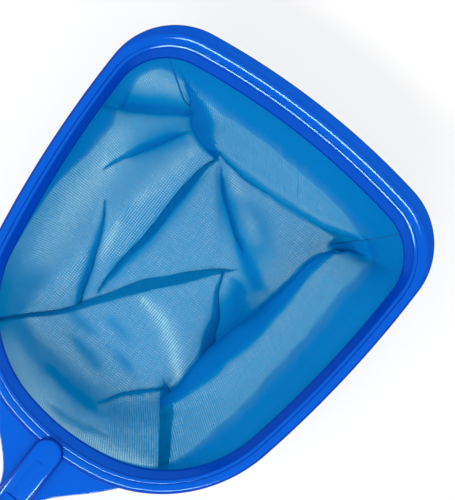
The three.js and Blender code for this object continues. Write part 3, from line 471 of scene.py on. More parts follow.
def made_plain(piece):
    """Leaves the piece with the plain mesh that its modifiers make."""
    evaluated = piece.evaluated_get(bpy.context.evaluated_depsgraph_get())
    mesh = bpy.data.meshes.new_from_object(evaluated)
    piece.modifiers.clear()
    piece.data = mesh


def repeated(name, pattern, places, headings, material):
    """Geometry nodes: the pattern's mesh at every place, turned to its heading, as one piece."""
    group, entry, leave = node_group(
        name + "_repeat", "GeometryNodeTree",
        {"Places": "Geometry", "Pattern": "Object", "Material": "Material", "Size": "Float"},
        {"Pieces": "Geometry"})
    source = add_node(group, "GeometryNodeObjectInfo", Object=entry.outputs["Pattern"])
    heading = group.nodes.new("GeometryNodeInputNamedAttribute")
    heading.data_type = "FLOAT_VECTOR"
    heading.inputs["Name"].default_value = "heading"
    lay = add_node(group, "GeometryNodeInstanceOnPoints", Points=entry.outputs["Places"],
                   Instance=source.outputs["Geometry"], Rotation=heading.outputs["Attribute"],
                   Scale=entry.outputs["Size"])
    real = add_node(group, "GeometryNodeRealizeInstances", Geometry=lay.outputs["Instances"])
    paint = add_node(group, "GeometryNodeSetMaterial", Geometry=real.outputs["Geometry"],
                     Material=entry.outputs["Material"])
    feed(group, leave, Pieces=paint.outputs["Geometry"])
    piece = new_piece(name, places, [])
    turns = piece.data.attributes.new("heading", "FLOAT_VECTOR", "POINT")
    turns.data.foreach_set("vector", np.asarray(headings, np.float32).ravel())
    maker = piece.modifiers.new("repeat", "NODES")
    maker.node_group = group
    given = {"Pattern": pattern, "Material": material, "Size": 1.0}
    for socket in group.interface.items_tree:
        if socket.name in given:
            maker[socket.identifier] = given[socket.name]
    bpy.context.view_layer.update()
    made_plain(piece)
    bpy.data.objects.remove(pattern)
    return piece


# The gussets that stiffen the flange from below stand at every second joint of the ring.
GUSSET_DEPTH, GUSSET_THICKNESS, GUSSET_COUNT = 13 * MM, 2 * MM, 35
gusset_profile = [(2 * MM, -4.2 * MM), (2 * MM, -GUSSET_DEPTH - FLANGE), (4 * MM, -GUSSET_DEPTH - FLANGE),
                  (8.2 * MM, -6.4 * MM), (8.2 * MM, -4.6 * MM)]
web = GUSSET_THICKNESS / 2
gusset_points = [(x, side * web, z) for side in (-1, 1) for x, z in gusset_profile]
gusset_faces = [(0, 1, 2, 3, 4), (9, 8, 7, 6, 5)]
gusset_faces += [(i, i + 5, (i + 1) % 5 + 5, (i + 1) % 5) for i in range(5)]
gusset_pattern = new_piece("gusset_pattern", gusset_points, gusset_faces, sharp_angle=30)
gusset_stations = [round((number + 0.5) * STATIONS / GUSSET_COUNT) % STATIONS
                   for number in range(GUSSET_COUNT)]
gussets = repeated(
    "gussets", gusset_pattern,
    [(*seat_line[i], RING_TOP) for i in gusset_stations],
    [(0, 0, math.atan2(outward[i][1], outward[i][0])) for i in gusset_stations], frame_blue)
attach(gussets, "head")
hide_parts("outer_frame")

# ---------------------------------------------------------------- clamp ring
# A second moulding drops inside the bead and traps the hem. Its top rolls over a narrow bead and
# falls as a steep inner wall to the rim of the opening.
CLAMP_GAP = 0.15 * MM
hem_top = RING_TOP - SKIRT_DEPTH + LEDGE + 1.6 * MM
clamp_top = RING_TOP - 1.5 * MM
crest = -clamp_width * (0.12 - 0.02 * lip_share)
clamp_corners = [
    at(-clamp_width, hem_top),
    at(-clamp_width, RING_TOP - 13.2 * MM),
    at(-clamp_width + 1.1 * MM, RING_TOP - 11.4 * MM),
    at(crest - 3.6 * MM, clamp_top - 2.8 * MM),
    at(crest - 2.1 * MM, clamp_top - 1.0 * MM),
    at(crest, clamp_top),
    at(-CLAMP_GAP, clamp_top - 0.2 * MM),
    at(-CLAMP_GAP, hem_top + 1.4 * MM),
    at(-CLAMP_GAP - 2.2 * MM, hem_top),
]
clamp_rounding = np.array([0.5, 0.6, 0.8, 1.2, 0.6, 0.6, 0.25, 0, 0]) * MM
clamp = new_piece("clamp_ring_shell", *swept(rounded(clamp_corners, clamp_rounding)), sharp_angle=50)
clamp.data.materials.append(frame_blue)
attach(clamp, "head")
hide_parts("clamp_ring")

# ---------------------------------------------------------------- spigot
# The pole slides over a darker moulded tube with a stop shoulder. It is turned, then cut for the
# clip's ears and buttons and for the two screws that hold it in the socket.
SPIGOT_RADIUS, SPIGOT_BORE, SPIGOT_EXPOSED = 14.15 * MM, 11.4 * MM, 107 * MM
SHOULDER_RADIUS, SHOULDER_AT = 15.9 * MM, 29 * MM
BUTTON_RADIUS, BUTTON_AT = 3.1 * MM, 67 * MM
EAR_NEAR, EAR_FAR, EAR_THICKNESS = 7 * MM, 23 * MM, 4 * MM
SHOULDER_WIDTH, SHOULDER_SLOPE, END_CHAMFER, SOFTENING = 4 * MM, 1.2 * MM, 1.5 * MM, 0.5 * MM
EAR_PLAY, EAR_TRAVEL, BUTTON_PLAY = 0.6 * MM, 1.2 * MM, 1.4 * MM
SCREW_HOLE_RADIUS, SCREW_HOLES_AT = 2 * MM, (10 * MM, 26 * MM)
# Lit colour, then the painted shade for slants.
spigot_blue = plastic_material("spigot_blue", (0.0, 0.045, 0.3), (0.0, 0.02, 0.2), 0.24)


def turned_across(profile, y, steps=40):
    """A closed profile of (radius, x) turned about an axis that runs across the net at y."""
    points, faces = turned(profile, steps=steps)
    return np.column_stack([points[:, 1], y + points[:, 0], points[:, 2]]), faces


def cut_away(piece, cutters):
    """Takes every cutter out of the piece, and leaves the piece with one plain mesh."""
    for cutter in cutters:
        cut = piece.modifiers.new("cut", "BOOLEAN")
        cut.object, cut.solver = cutter, "EXACT"
    made_plain(piece)
    piece.data.set_sharp_from_angle(angle=math.radians(35))
    for cutter in cutters:
        bpy.data.objects.remove(cutter)


tube_end, tube_start = MOUTH_Y - SPIGOT_EXPOSED, MOUTH_Y + SPIGOT_HIDDEN
shoulder_y = MOUTH_Y - SHOULDER_AT
shoulder_back = shoulder_y - SHOULDER_WIDTH
spigot = new_piece("spigot_tube", *turned([
    (SPIGOT_BORE, tube_start), (SPIGOT_BORE, tube_end + SOFTENING), (SPIGOT_BORE + SOFTENING, tube_end),
    (SPIGOT_RADIUS - END_CHAMFER, tube_end), (SPIGOT_RADIUS - SOFTENING, tube_end + SOFTENING),
    (SPIGOT_RADIUS, tube_end + END_CHAMFER), (SPIGOT_RADIUS, shoulder_back),
    (SHOULDER_RADIUS - SOFTENING, shoulder_back), (SHOULDER_RADIUS, shoulder_back + SOFTENING),
    (SHOULDER_RADIUS, shoulder_y - SHOULDER_SLOPE), (SPIGOT_RADIUS, shoulder_y),
    (SPIGOT_RADIUS, tube_start - END_CHAMFER), (SPIGOT_RADIUS - END_CHAMFER, tube_start)], steps=96))
slot_half, across = EAR_THICKNESS / 2 + EAR_PLAY, SPIGOT_RADIUS * 1.5
slot_near, slot_far = MOUTH_Y - EAR_NEAR + EAR_TRAVEL, MOUTH_Y - EAR_FAR - EAR_TRAVEL
ear_slot = new_piece("ear_slot", *raised(
    [Vector((-across, slot_far)), Vector((across, slot_far)), Vector((across, slot_near)),
     Vector((-across, slot_near))], AXIS_HEIGHT - slot_half, AXIS_HEIGHT + slot_half))
hole_radius = BUTTON_RADIUS + BUTTON_PLAY
button_hole = new_piece("button_hole", *turned_across(
    [(0.01 * MM, -across), (hole_radius, -across), (hole_radius, across), (0.01 * MM, across)],
    MOUTH_Y - BUTTON_AT))
hole_turns = np.linspace(0, math.tau, 24, endpoint=False)
screw_holes = [new_piece("screw_hole", *raised(
    [Vector((SCREW_HOLE_RADIUS * math.cos(turn), MOUTH_Y + inward + SCREW_HOLE_RADIUS * math.sin(turn)))
     for turn in hole_turns], AXIS_HEIGHT - across, AXIS_HEIGHT)) for inward in SCREW_HOLES_AT]
cut_away(spigot, [ear_slot, button_hole, *screw_holes])
spigot.data.materials.append(spigot_blue)
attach(spigot, "head")
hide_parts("spigot")

# ---------------------------------------------------------------- spring clip
# One springy pale strip is bent double inside the spigot. Each leg carries a round button that
# snaps into the pole and an ear with a ridged pad, and the bend stays with the spigot.
BEND_AT, STRIP, LEG_HEIGHT = 98 * MM, 2 * MM, 9 * MM
BEND_Y = MOUTH_Y - BEND_AT
LEG_BEND_X, LEG_EAR_X, EAR_REACH = 4 * MM, 9 * MM, 25.5 * MM
PAD_THICKNESS, PAD_HEIGHT, PAD_HALF = 3.2 * MM, 13 * MM, 9 * MM
GROOVE, GROOVE_PITCH, STRIP_ROUNDING, PAD_ROUNDING = 1 * MM, 4 * MM, 0.4 * MM, 0.3 * MM
BUTTON_PROUD, BUTTON_ROUNDING = 2.5 * MM, 0.8 * MM
# Lit colour, then the painted shade for slants.
clip_pale = plastic_material("clip_pale", (0.5, 0.52, 0.55), (0.36, 0.39, 0.43), 0.32,
                             highlight=(1, 1, 1))


def level_plate(shape, height, rounding):
    """A flat shape centred on the spigot's axis height, its upper edge rounded."""
    return raised([Vector(p) for p in shape], AXIS_HEIGHT - height / 2, AXIS_HEIGHT + height / 2,
                  rounding, 3)


def clip_leg(name, side, body):
    """One leg: the strip, the button, the ear through the slot and the pad with three grooves."""
    root_y, tip_y = BEND_Y + 0.3 * MM, MOUTH_Y - EAR_NEAR
    half = STRIP / 2
    strip = level_plate([(LEG_BEND_X - half, root_y), (LEG_BEND_X + half, root_y),
                         (LEG_EAR_X + half, tip_y), (LEG_EAR_X - half, tip_y)], LEG_HEIGHT, STRIP_ROUNDING)
    ear = level_plate([(LEG_EAR_X, MOUTH_Y - EAR_FAR), (EAR_REACH - 1 * MM, MOUTH_Y - EAR_FAR),
                       (EAR_REACH - 1 * MM, tip_y), (LEG_EAR_X, tip_y)], EAR_THICKNESS, STRIP_ROUNDING)
    middle_y = MOUTH_Y - (EAR_NEAR + EAR_FAR) / 2
    face = [(EAR_REACH, middle_y - PAD_HALF)]
    for row in (-GROOVE_PITCH, 0, GROOVE_PITCH):
        face += [(EAR_REACH - depth, middle_y + row + step) for depth, step in
                 ((0, -GROOVE / 2), (GROOVE / 2, -GROOVE / 2), (GROOVE / 2, GROOVE / 2), (0, GROOVE / 2))]
    face += [(EAR_REACH, middle_y + PAD_HALF), (EAR_REACH - PAD_THICKNESS, middle_y + PAD_HALF),
             (EAR_REACH - PAD_THICKNESS, middle_y - PAD_HALF)]
    pad = level_plate(face, PAD_HEIGHT, PAD_ROUNDING)
    root_x = LEG_BEND_X + (LEG_EAR_X - LEG_BEND_X) * (BEND_AT - BUTTON_AT) / (BEND_AT - EAR_NEAR)
    top_x = SPIGOT_RADIUS + BUTTON_PROUD
    button = turned_across([(0.05 * MM, root_x), (BUTTON_RADIUS, root_x),
                            (BUTTON_RADIUS, top_x - BUTTON_ROUNDING),
                            (BUTTON_RADIUS - 0.25 * MM, top_x - 0.25 * MM),
                            (BUTTON_RADIUS - BUTTON_ROUNDING, top_x), (0.05 * MM, top_x)],
                           MOUTH_Y - BUTTON_AT)
    points, faces = together([strip, ear, pad, button])
    if side < 0:
        points, faces = points * (-1, 1, 1), [face[::-1] for face in faces]
    leg = new_piece(name, points, faces, sharp_angle=35)
    leg.data.materials.append(clip_pale)
    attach(leg, body)
    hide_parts(body + "_leg")


clip_leg("clip_left_strip", -1, "clip_left")
clip_leg("clip_right_strip", 1, "clip_right")
half_turn = np.linspace(math.pi, math.tau, 25)
bend = new_piece("clip_bend_strip", *level_plate(
    [(radius * math.cos(turn), BEND_Y + radius * math.sin(turn)) for radius, turns in
     ((LEG_BEND_X + STRIP / 2, half_turn), (LEG_BEND_X - STRIP / 2, half_turn[::-1]))
     for turn in turns], LEG_HEIGHT, STRIP_ROUNDING), sharp_angle=35)
bend.data.materials.append(clip_pale)
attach(bend, "head")
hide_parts("clip_bend")

# ---------------------------------------------------------------- screws
# Steel screws come up from below: a ring of them holds the clamp ring, two more hold the spigot.
# They keep the shape of their CAD nodes and get the look of plain steel.


def steel_material(name):
    """Plain steel with a fine uneven grain."""
    material, tree, shader = new_material(name)
    where = add_node(tree, "ShaderNodeTexCoord")
    grain = add_node(tree, "ShaderNodeTexNoise", Vector=where.outputs["Object"], Scale=900, Detail=4)
    grain = grain.outputs["Fac"]
    tint = mixed_colour(tree, Factor=grain, A=(0.42, 0.43, 0.45, 1), B=(0.66, 0.67, 0.69, 1))
    gloss = add_node(tree, "ShaderNodeMapRange", Value=grain, To_Min=0.22, To_Max=0.42)
    feed(tree, shader, Base_Color=tint, Roughness=gloss.outputs["Result"], Metallic=1,
         Normal=fine_relief(tree, grain, 0.3, 0.05 * MM))
    return material


screw_steel = steel_material("screw_steel")
for node_name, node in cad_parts.items():
    if "screw" in node_name:
        node.data.materials.clear()
        node.data.materials.append(screw_steel)

# ---------------------------------------------------------------- bag
# The bag is sewn from a fine see-through weave. It hangs from the hem and slumps on its own floor,
# and the slack lies in pleats where the cloth doubles back on itself. It is one sheet, swept from
# the rim over the line where each wall breaks and down to the foot, then in to the middle.
BAG_TOP = RING_TOP - SKIRT_DEPTH + LEDGE - 0.6 * MM
AROUND = 680
SLOPE_ROWS, DROP_ROWS, FLOOR_ROWS = 46, 26, 70
WEAVE_PITCH = 2.7 * MM
FLOOR_HEIGHT, LOWEST = 3.2 * MM, 1.5 * MM
RIM_OVERLAP, WALL_SAG, DROP_CURVE = 5 * MM, 5 * MM, 1.15

# Each entry: share of the way round the rim, then the break and the foot as x, y, height in mm.
wall_lines = [
    (0.9, (-55, 233, 62), (-52, 235, 6)), (0.99, (43, 234, 66), (45, 232, 5)),
    (0.04, (88, 240, 64), (90, 236, 6)), (0.085, (115, 249, 62), (107, 239, 6)),
    (0.12, (131, 253, 66), (106, 228, 8)), (0.155, (143, 240, 60), (107, 220, 6)),
    (0.18, (117, 227, 60), (102, 208, 5)), (0.2, (104, 198, 60), (99, 182, 5)),
    (0.26, (111, 130, 58), (84, 116, 4)), (0.3, (104, 85, 55), (73, 78, 4)),
    (0.36, (87, 10, 50), (69, 12, 4)), (0.39, (80, -25, 46), (67, -19, 5)),
    (0.415, (78, -51, 60), (54, -31, 8)), (0.445, (47, -74, 62), (24, -55, 8)),
    (0.48, (5, -84, 62), (-13, -64, 8)), (0.55, (-77, -80, 62), (-92, -60, 8)),
    (0.61, (-132, -62, 64), (-120, -53, 8)), (0.64, (-146, -30, 66), (-124, -20, 8)),
    (0.68, (-145, 27, 64), (-113, 31, 8)), (0.77, (-145, 142, 62), (-99, 142, 8)),
    (0.81, (-143, 192, 64), (-88, 192, 8)), (0.84, (-135, 225, 66), (-78, 216, 8)),
    (0.875, (-113, 246, 66), (-64, 225, 7)),
]


def bell(half, spread):
    """Weights of a bell curve over some steps each way, which add up to one."""
    weights = np.exp(-0.5 * (np.arange(-half, half + 1) / spread) ** 2)
    return weights / weights.sum()


def round_the_rim(shares, places, half=9):
    """Places given at some shares of the rim, carried smoothly to every column of the bag."""
    order = np.argsort(shares)
    knots, values = np.array(shares)[order], np.array(places, float)[order]
    knots = np.concatenate([knots - 1, knots, knots + 1])
    filled = read_off(np.arange(AROUND) / AROUND, knots, np.vstack([values, values, values]))
    return sum(weight * np.roll(filled, step - half, axis=0)
               for step, weight in enumerate(bell(half, 3.2)))


def smooth_down(rows, reach, half=4):
    """Rounds every break across the rows, and leaves the first and the last row in place."""
    padded = np.concatenate([np.repeat(rows[:1], half, axis=0), rows, np.repeat(rows[-1:], half, axis=0)])
    out = sum(weight * padded[step:step + len(rows)] for step, weight in enumerate(bell(half, reach)))
    out[0], out[-1] = rows[0], rows[-1]
    return out


def to_columns(line):
    """A closed line of one point per station, read at every column of the bag."""
    stations = np.arange(AROUND) / AROUND * STATIONS
    return read_off(stations, np.arange(STATIONS + 1), np.vstack([line, line[:1]]))


rim_line = to_columns(opening_line) + to_columns(outward) * RIM_OVERLAP
line_shares = [entry[0] for entry in wall_lines]
break_line = round_the_rim(line_shares, [entry[1] for entry in wall_lines]) * MM
foot_line = round_the_rim(line_shares, [entry[2] for entry in wall_lines]) * MM
middle = foot_line[:, :2].mean(axis=0)

rows = []
for step in range(SLOPE_ROWS):
    t = step / SLOPE_ROWS
    plan = rim_line * (1 - t) + break_line[:, :2] * t
    height = BAG_TOP * (1 - t) + break_line[:, 2] * t - WALL_SAG * math.sin(math.pi * t) * t
    rows.append(np.column_stack([plan, height]))
for step in range(DROP_ROWS):
    t = step / DROP_ROWS
    plan = break_line[:, :2] * (1 - t) + foot_line[:, :2] * t
    height = foot_line[:, 2] + (break_line[:, 2] - foot_line[:, 2]) * (1 - t) ** DROP_CURVE
    rows.append(np.column_stack([plan, height]))
for step in range(FLOOR_ROWS):
    t = step / FLOOR_ROWS
    plan = foot_line[:, :2] * (1 - t) + middle * t
    height = foot_line[:, 2] * (1 - t) ** 3 + FLOOR_HEIGHT * (1 - (1 - t) ** 3)
    rows.append(np.column_stack([plan, height]))
rows = np.array(rows)
grid = smooth_down(rows, 1.3)
# Round the back and the left side the wall breaks more softly.
softer = rows
for _ in range(9):
    softer = smooth_down(softer, 3)
gentle = round_the_rim([0.0, 0.36, 0.42, 0.58, 0.64, 0.84, 0.88],
                       [(0,), (0,), (1,), (1,), (1,), (1,), (0,)])[:, 0][None, :, None]
grid = grid * (1 - gentle) + softer * gentle
row_heading = np.roll(grid, -1, axis=1) - np.roll(grid, 1, axis=1)
row_heading /= np.linalg.norm(row_heading, axis=2)[:, :, None]
cloth = grid.reshape(-1, 3).copy()
# How far the threads stand apart; it also carries painted light where it is positive and painted shade where
# it is negative.
pull_and_painted_light = np.zeros(len(cloth))


def smoothed(line, times):
    """The line with its corners rounded off; its two ends stay in place."""
    for _ in range(times):
        line[1:-1] = (line[:-2] + 2 * line[1:-1] + line[2:]) / 4
    return line


# No fold is dead straight. It sways by SWAY in slow and quick waves and swells by SWELL of its
# width; the waves are in radians a metre, and the place of an end says where they start.
SWAY, SLOW_WAVE, QUICK_WAVE = 0.35 * MM, 95, 170
SWELL, SWELL_WAVE = 0.05, 110
# Measured in halves of a fold, cloth up to LAYERS_HALF from its line ends in three layers, and
# these lie over LAYERS_WIDTH. BAND_EDGE says how sharply the band of layers ends; it is darker
# from the layers themselves and from painted shade.
LAYERS_HALF, LAYERS_WIDTH, BAND_EDGE, LAYER_LIFT = 2.05, 2.23, 16, 0.9 * MM
# A fold moves only the cloth within its reach, and a crease tapers in near its two ends.
FOLD_REACH, RIDGE_REACH, TAPER = 60 * MM, 90 * MM, 14 * MM


def along(line):
    """A given line of (x, y, width) in mm as a smooth dense one, in metres."""
    knots = np.array(line, float) * MM
    run = run_along(knots[:, :2])
    at_run = np.linspace(0, run[-1], 90)
    dense = smoothed(read_off(at_run, run, knots), 12)
    slow = np.sin(at_run * SLOW_WAVE + knots[0, 0] * 900)
    quick = np.sin(at_run * QUICK_WAVE + knots[0, 1] * 700)
    dense[:, 0] += SWAY * (slow + 0.6 * quick)
    dense[:, 2] *= 1 + SWELL * np.sin(at_run * SWELL_WAVE + knots[-1, 0] * 500)
    return dense


def beside(line, reach):
    """The cloth near a line: its points, distance and normal, and the line's width and fade."""
    dense = along(line)
    low_corner, high_corner = dense[:, :2].min(axis=0) - reach, dense[:, :2].max(axis=0) + reach
    near = np.all((cloth[:, :2] > low_corner) & (cloth[:, :2] < high_corner), axis=1)
    near = np.nonzero(near)[0]
    heading = np.gradient(dense[:, :2], axis=0)
    heading /= np.linalg.norm(heading, axis=1)[:, None]
    gap = cloth[near, None, :2] - dense[None, :, :2]
    nearest = np.einsum("ijk,ijk->ij", gap, gap).argmin(axis=1)
    gap = gap[np.arange(len(near)), nearest]
    normal = np.stack([-heading[nearest, 1], heading[nearest, 0]], axis=1)
    distance = (gap * normal).sum(axis=1)
    past_end = np.abs((gap * heading[nearest]).sum(axis=1))
    width = dense[nearest, 2]
    fade = np.exp(-(past_end / np.maximum(width, 2 * MM)) ** 2)
    return near, distance, normal, width, fade


def pleat(line, top=1, crowding_and_painted_shade=0.5):
    """The cloth doubles back twice along a line, so that three layers lie over its width; the band also gets
    painted shade.
    """
    near, distance, normal, width, fade = beside(line, FOLD_REACH)
    half = np.maximum(width / LAYERS_WIDTH, 0.4 * MM)
    tau = distance / half
    shift = -2 * half * tau * np.exp((1 - tau ** 2) / 2) * fade
    cloth[near, :2] += normal * shift[:, None]
    cloth[near, 2] += top * LAYER_LIFT * tau * np.exp(-tau ** 2 / 8) * fade
    pull_and_painted_light[near] -= crowding_and_painted_shade * np.exp(-(tau / LAYERS_HALF) ** BAND_EDGE) * fade


def hump(distance, width):
    """One on the line, and soon nothing beyond its width."""
    return np.exp(-(distance / np.maximum(width, 1 * MM)) ** 2)


def ridge(line, height):
    """A soft rise or, with a negative height, a soft valley as wide as the line says."""
    near, distance, normal, width, fade = beside(line, RIDGE_REACH)
    cloth[near, 2] += height * MM * hump(distance, width) * fade


def pulled_cloth_and_painted_light(line, amount, tapered=False):
    """Pulled cloth, whose threads stand apart, with painted light; a negative amount packs them closer, with
    painted shade.
    """
    near, distance, normal, width, fade = beside(line, FOLD_REACH)
    if tapered:
        start, end = np.array(line[0][:2]) * MM, np.array(line[-1][:2]) * MM
        from_ends = np.minimum(np.linalg.norm(cloth[near, :2] - start, axis=1),
                               np.linalg.norm(cloth[near, :2] - end, axis=1))
        fade = fade * np.minimum(from_ends / TAPER, 1)
    pull_and_painted_light[near] += amount * hump(distance, width) * fade


def crease(line, amount):
    """A shallow valley with painted shade, where the threads pack closer and let less light through."""
    ridge(line, -1.5)
    pulled_cloth_and_painted_light(line, -amount, tapered=True)


# Every line holds (x, y, width) in mm. A pleat's 1 or -1 says which of its sides lies uppermost.
# Soft billows between the pleats:
ridge([(-110, 170, 26), (-90, 120, 30), (-80, 70, 26)], 3)
ridge([(-30, 200, 18), (-25, 150, 24), (-30, 90, 22)], 3.5)
ridge([(40, 205, 22), (60, 180, 18)], 2.5)
ridge([(-40, 10, 20), (10, 30, 24), (30, 70, 16)], 4)
ridge([(-90, -45, 16), (-20, -40, 20)], 3)
ridge([(-35, 215, 10), (20, 150, 12), (70, 125, 12)], -3)
# The flap at the front left corner, and the folds that run back from it:
pleat([(-140, 274, 1), (-123, 265, 5), (-105, 256, 15), (-90, 244, 25), (-78, 235, 18), (-57, 228, 3)], 1,
      crowding_and_painted_shade=1.2)
pleat([(-102, 228, 3), (-112, 212, 8), (-128, 185, 8), (-139, 162, 6), (-146, 142, 3)], -1)
crease([(-100, 233, 8), (-112, 212, 13), (-128, 185, 14), (-140, 160, 10)], 0.5)
pleat([(-58, 222, 4), (-63, 204, 8), (-64, 177, 10), (-64, 139, 10), (-65, 102, 8), (-71, 63, 6),
       (-71, 26, 5)], 1)
crease([(-59, 206, 6), (-61, 177, 8), (-61, 139, 9), (-62, 102, 8), (-68, 63, 7), (-70, 36, 6)], 0.5)
# The fold on the left of the floor, and the long one that crosses it from the back left:
pleat([(-126, 109, 2), (-116, 91, 4), (-105, 63, 6), (-95, 34, 8), (-84, 1, 7)], -1)
crease([(-118, 98, 3), (-105, 63, 6), (-95, 34, 8), (-84, 1, 8)], 0.45)
pleat([(-147, -75, 5), (-124, -56, 5), (-91, -25, 6), (-63, 15, 8), (-36, 56, 14), (-5, 92, 13),
       (22, 123, 8), (40, 140, 1)], -1)
# The fold from the front wall towards the right, and at the right of the floor a fold with painted shade
# beside it:
pleat([(-46, 222, 2), (-29, 204, 5), (-5, 186, 6), (18, 171, 6), (34, 161, 2)], 1)
crease([(-45, 222, 5), (-29, 204, 8), (-5, 186, 10), (18, 171, 9)], 0.5)
crease([(14, 174, 5), (34, 161, 7), (56, 149, 9), (82, 134, 9)], 0.9)
pleat([(31, 126, 3), (37, 108, 5), (55, 81, 8), (59, 57, 10), (64, 37, 9), (71, 11, 5)], -1)
pulled_cloth_and_painted_light([(58, 120, 12), (68, 102, 22), (72, 70, 18), (74, 36, 10)], -0.9)
crease([(37, 130, 3), (54, 128, 3), (69, 124, 3)], 0.5)
# The overhang of the right wall and the front wall's crease, and the pocket between them; the overhang and
# the pocket get painted shade.
pleat([(114, 224, 3), (108, 214, 8), (103, 192, 10), (101, 160, 13), (98, 123, 18), (91, 86, 24),
       (82, 50, 25), (78, 12, 20), (73, -22, 8)], 1, crowding_and_painted_shade=1.3)
pleat([(-50, 233, 3), (-19, 231, 6), (43, 234, 6), (88, 240, 6), (116, 250, 5), (132, 253, 2)], -1)
pleat([(115, 229, 2), (128, 235, 5), (143, 242, 2)], 1)
pulled_cloth_and_painted_light([(111, 231, 4), (118, 237, 9), (129, 244, 12), (143, 248, 12)], -1)
# The pleats at the back right corner, and the small creases along the back:
pleat([(113, -84, 10), (95, -59, 13), (78, -37, 15), (62, -22, 11)], 1)
pleat([(57, -22, 3), (39, -40, 6), (23, -57, 5), (12, -72, 3)], 1)
crease([(-70, -76, 3), (-31, -80, 4), (-1, -81, 5), (19, -80, 3)], 0.55)
crease([(-35, -101, 2), (-10, -102, 4), (15, -99, 4), (39, -91, 2)], 0.35)
crease([(-69, -37, 4), (-41, -41, 7), (-23, -45, 7), (-7, -51, 4)], 0.4)
crease([(-20, -20, 4), (5, -25, 6), (25, -28, 4)], 0.32)
crease([(-92, -14, 4), (-66, -19, 6), (-40, -19, 4)], 0.35)
crease([(-50, 4, 4), (-24, 2, 6), (-2, -3, 4)], 0.28)
# The pleat under the rim at the front left, and patches of painted light and painted shade, where the cloth
# is made thinner or denser:
pleat([(-192, 192, 4), (-164, 209, 10), (-137, 229, 10), (-111, 245, 6)], 1)
pulled_cloth_and_painted_light([(-23, 46, 6), (5, 42, 10), (35, 26, 10), (62, 2, 6)], 0.42)
pulled_cloth_and_painted_light([(-150, 170, 20), (-146, 90, 28), (-138, 20, 26)], 0.42)
pulled_cloth_and_painted_light([(-105, 130, 18), (-100, 60, 20), (-95, 10, 16)], 0.08)
pulled_cloth_and_painted_light([(-10, 195, 20), (30, 175, 20)], -0.12)
pulled_cloth_and_painted_light([(-5, 205, 8), (30, 202, 13), (50, 176, 14)], -0.28)
pulled_cloth_and_painted_light([(-195, 196, 6), (-167, 214, 12), (-140, 234, 12), (-114, 248, 8)], -0.7)
pulled_cloth_and_painted_light([(-29, 221, 4), (6, 201, 9), (39, 183, 6)], 0.25)
pulled_cloth_and_painted_light([(-102, 99, 3), (-96, 77, 6), (-93, 54, 4)], 0.3)
pulled_cloth_and_painted_light([(-82, 228, 8), (-94, 168, 14), (-98, 135, 8)], 0.22)
pulled_cloth_and_painted_light([(-190, 227, 9), (-164, 247, 13), (-137, 257, 9)], 0.25)
pulled_cloth_and_painted_light([(-120, -75, 10), (-65, -98, 13), (-12, -109, 14), (55, -103, 13), (97, -88, 7)], 0.45)
# What would sink below the bag's foot is pressed nearly flat.
cloth[:, 2] = np.maximum(cloth[:, 2], LOWEST + 0.1 * (cloth[:, 2] - LOWEST))

middle_point = np.append(middle, FLOOR_HEIGHT)
rows_of_points = SLOPE_ROWS + DROP_ROWS + FLOOR_ROWS
points = np.vstack([cloth, middle_point])
pole = len(points) - 1
faces = grid_faces(rows_of_points, AROUND, last_joins_first=False)
last = (rows_of_points - 1) * AROUND
faces += [(last + c, last + (c + 1) % AROUND, pole) for c in range(AROUND)]
bag = new_piece("bag", points, faces)

# The weave runs down the walls and along the floor, in metres of flat cloth.
final_grid = cloth.reshape(-1, AROUND, 3)
down_steps = np.linalg.norm(np.diff(final_grid, axis=0), axis=2)
cut_depth = np.concatenate([np.zeros((1, AROUND)), np.cumsum(down_steps, axis=0)])
slip = ((final_grid - grid) * row_heading).sum(axis=2)
rim_run = run_along(np.vstack([rim_line, rim_line[:1]]))


def corners_of(piece):
    """The vertex at every corner of the piece's faces."""
    corner = np.empty(len(piece.data.loops), int)
    piece.data.loops.foreach_get("vertex_index", corner)
    return corner


def lay_weave(piece, flat_places, painted_light_and_pull):
    """Gives a sheet its places on flat cloth, and how far its threads stand apart, which also carries
    painted light and shade.
    """
    piece.data.uv_layers.new(name="weave").data.foreach_set("uv", flat_places.ravel())
    pull_and_painted_light_here = piece.data.attributes.new("pull_and_painted_light", "FLOAT", "POINT")
    pull_and_painted_light_here.data.foreach_set("value", np.array(painted_light_and_pull, np.float32))


corner = corners_of(bag)
face_of = np.repeat(np.arange(len(faces)), [len(face) for face in faces])
row_of = face_of // AROUND
on_wall = row_of < SLOPE_ROWS + DROP_ROWS
vertex_row, vertex_column = np.minimum(corner, pole - 1) // AROUND, corner % AROUND
wraps = (face_of % AROUND == AROUND - 1) & (vertex_column == 0)
uv = np.empty((len(corner), 2))
uv[:, 0] = np.where(wraps, rim_run[-1], rim_run[vertex_column]) + slip[vertex_row, vertex_column]
uv[:, 1] = cut_depth[vertex_row, vertex_column]
lay_weave(bag, np.where(on_wall[:, None], uv, points[corner][:, :2]), np.append(pull_and_painted_light, 0))


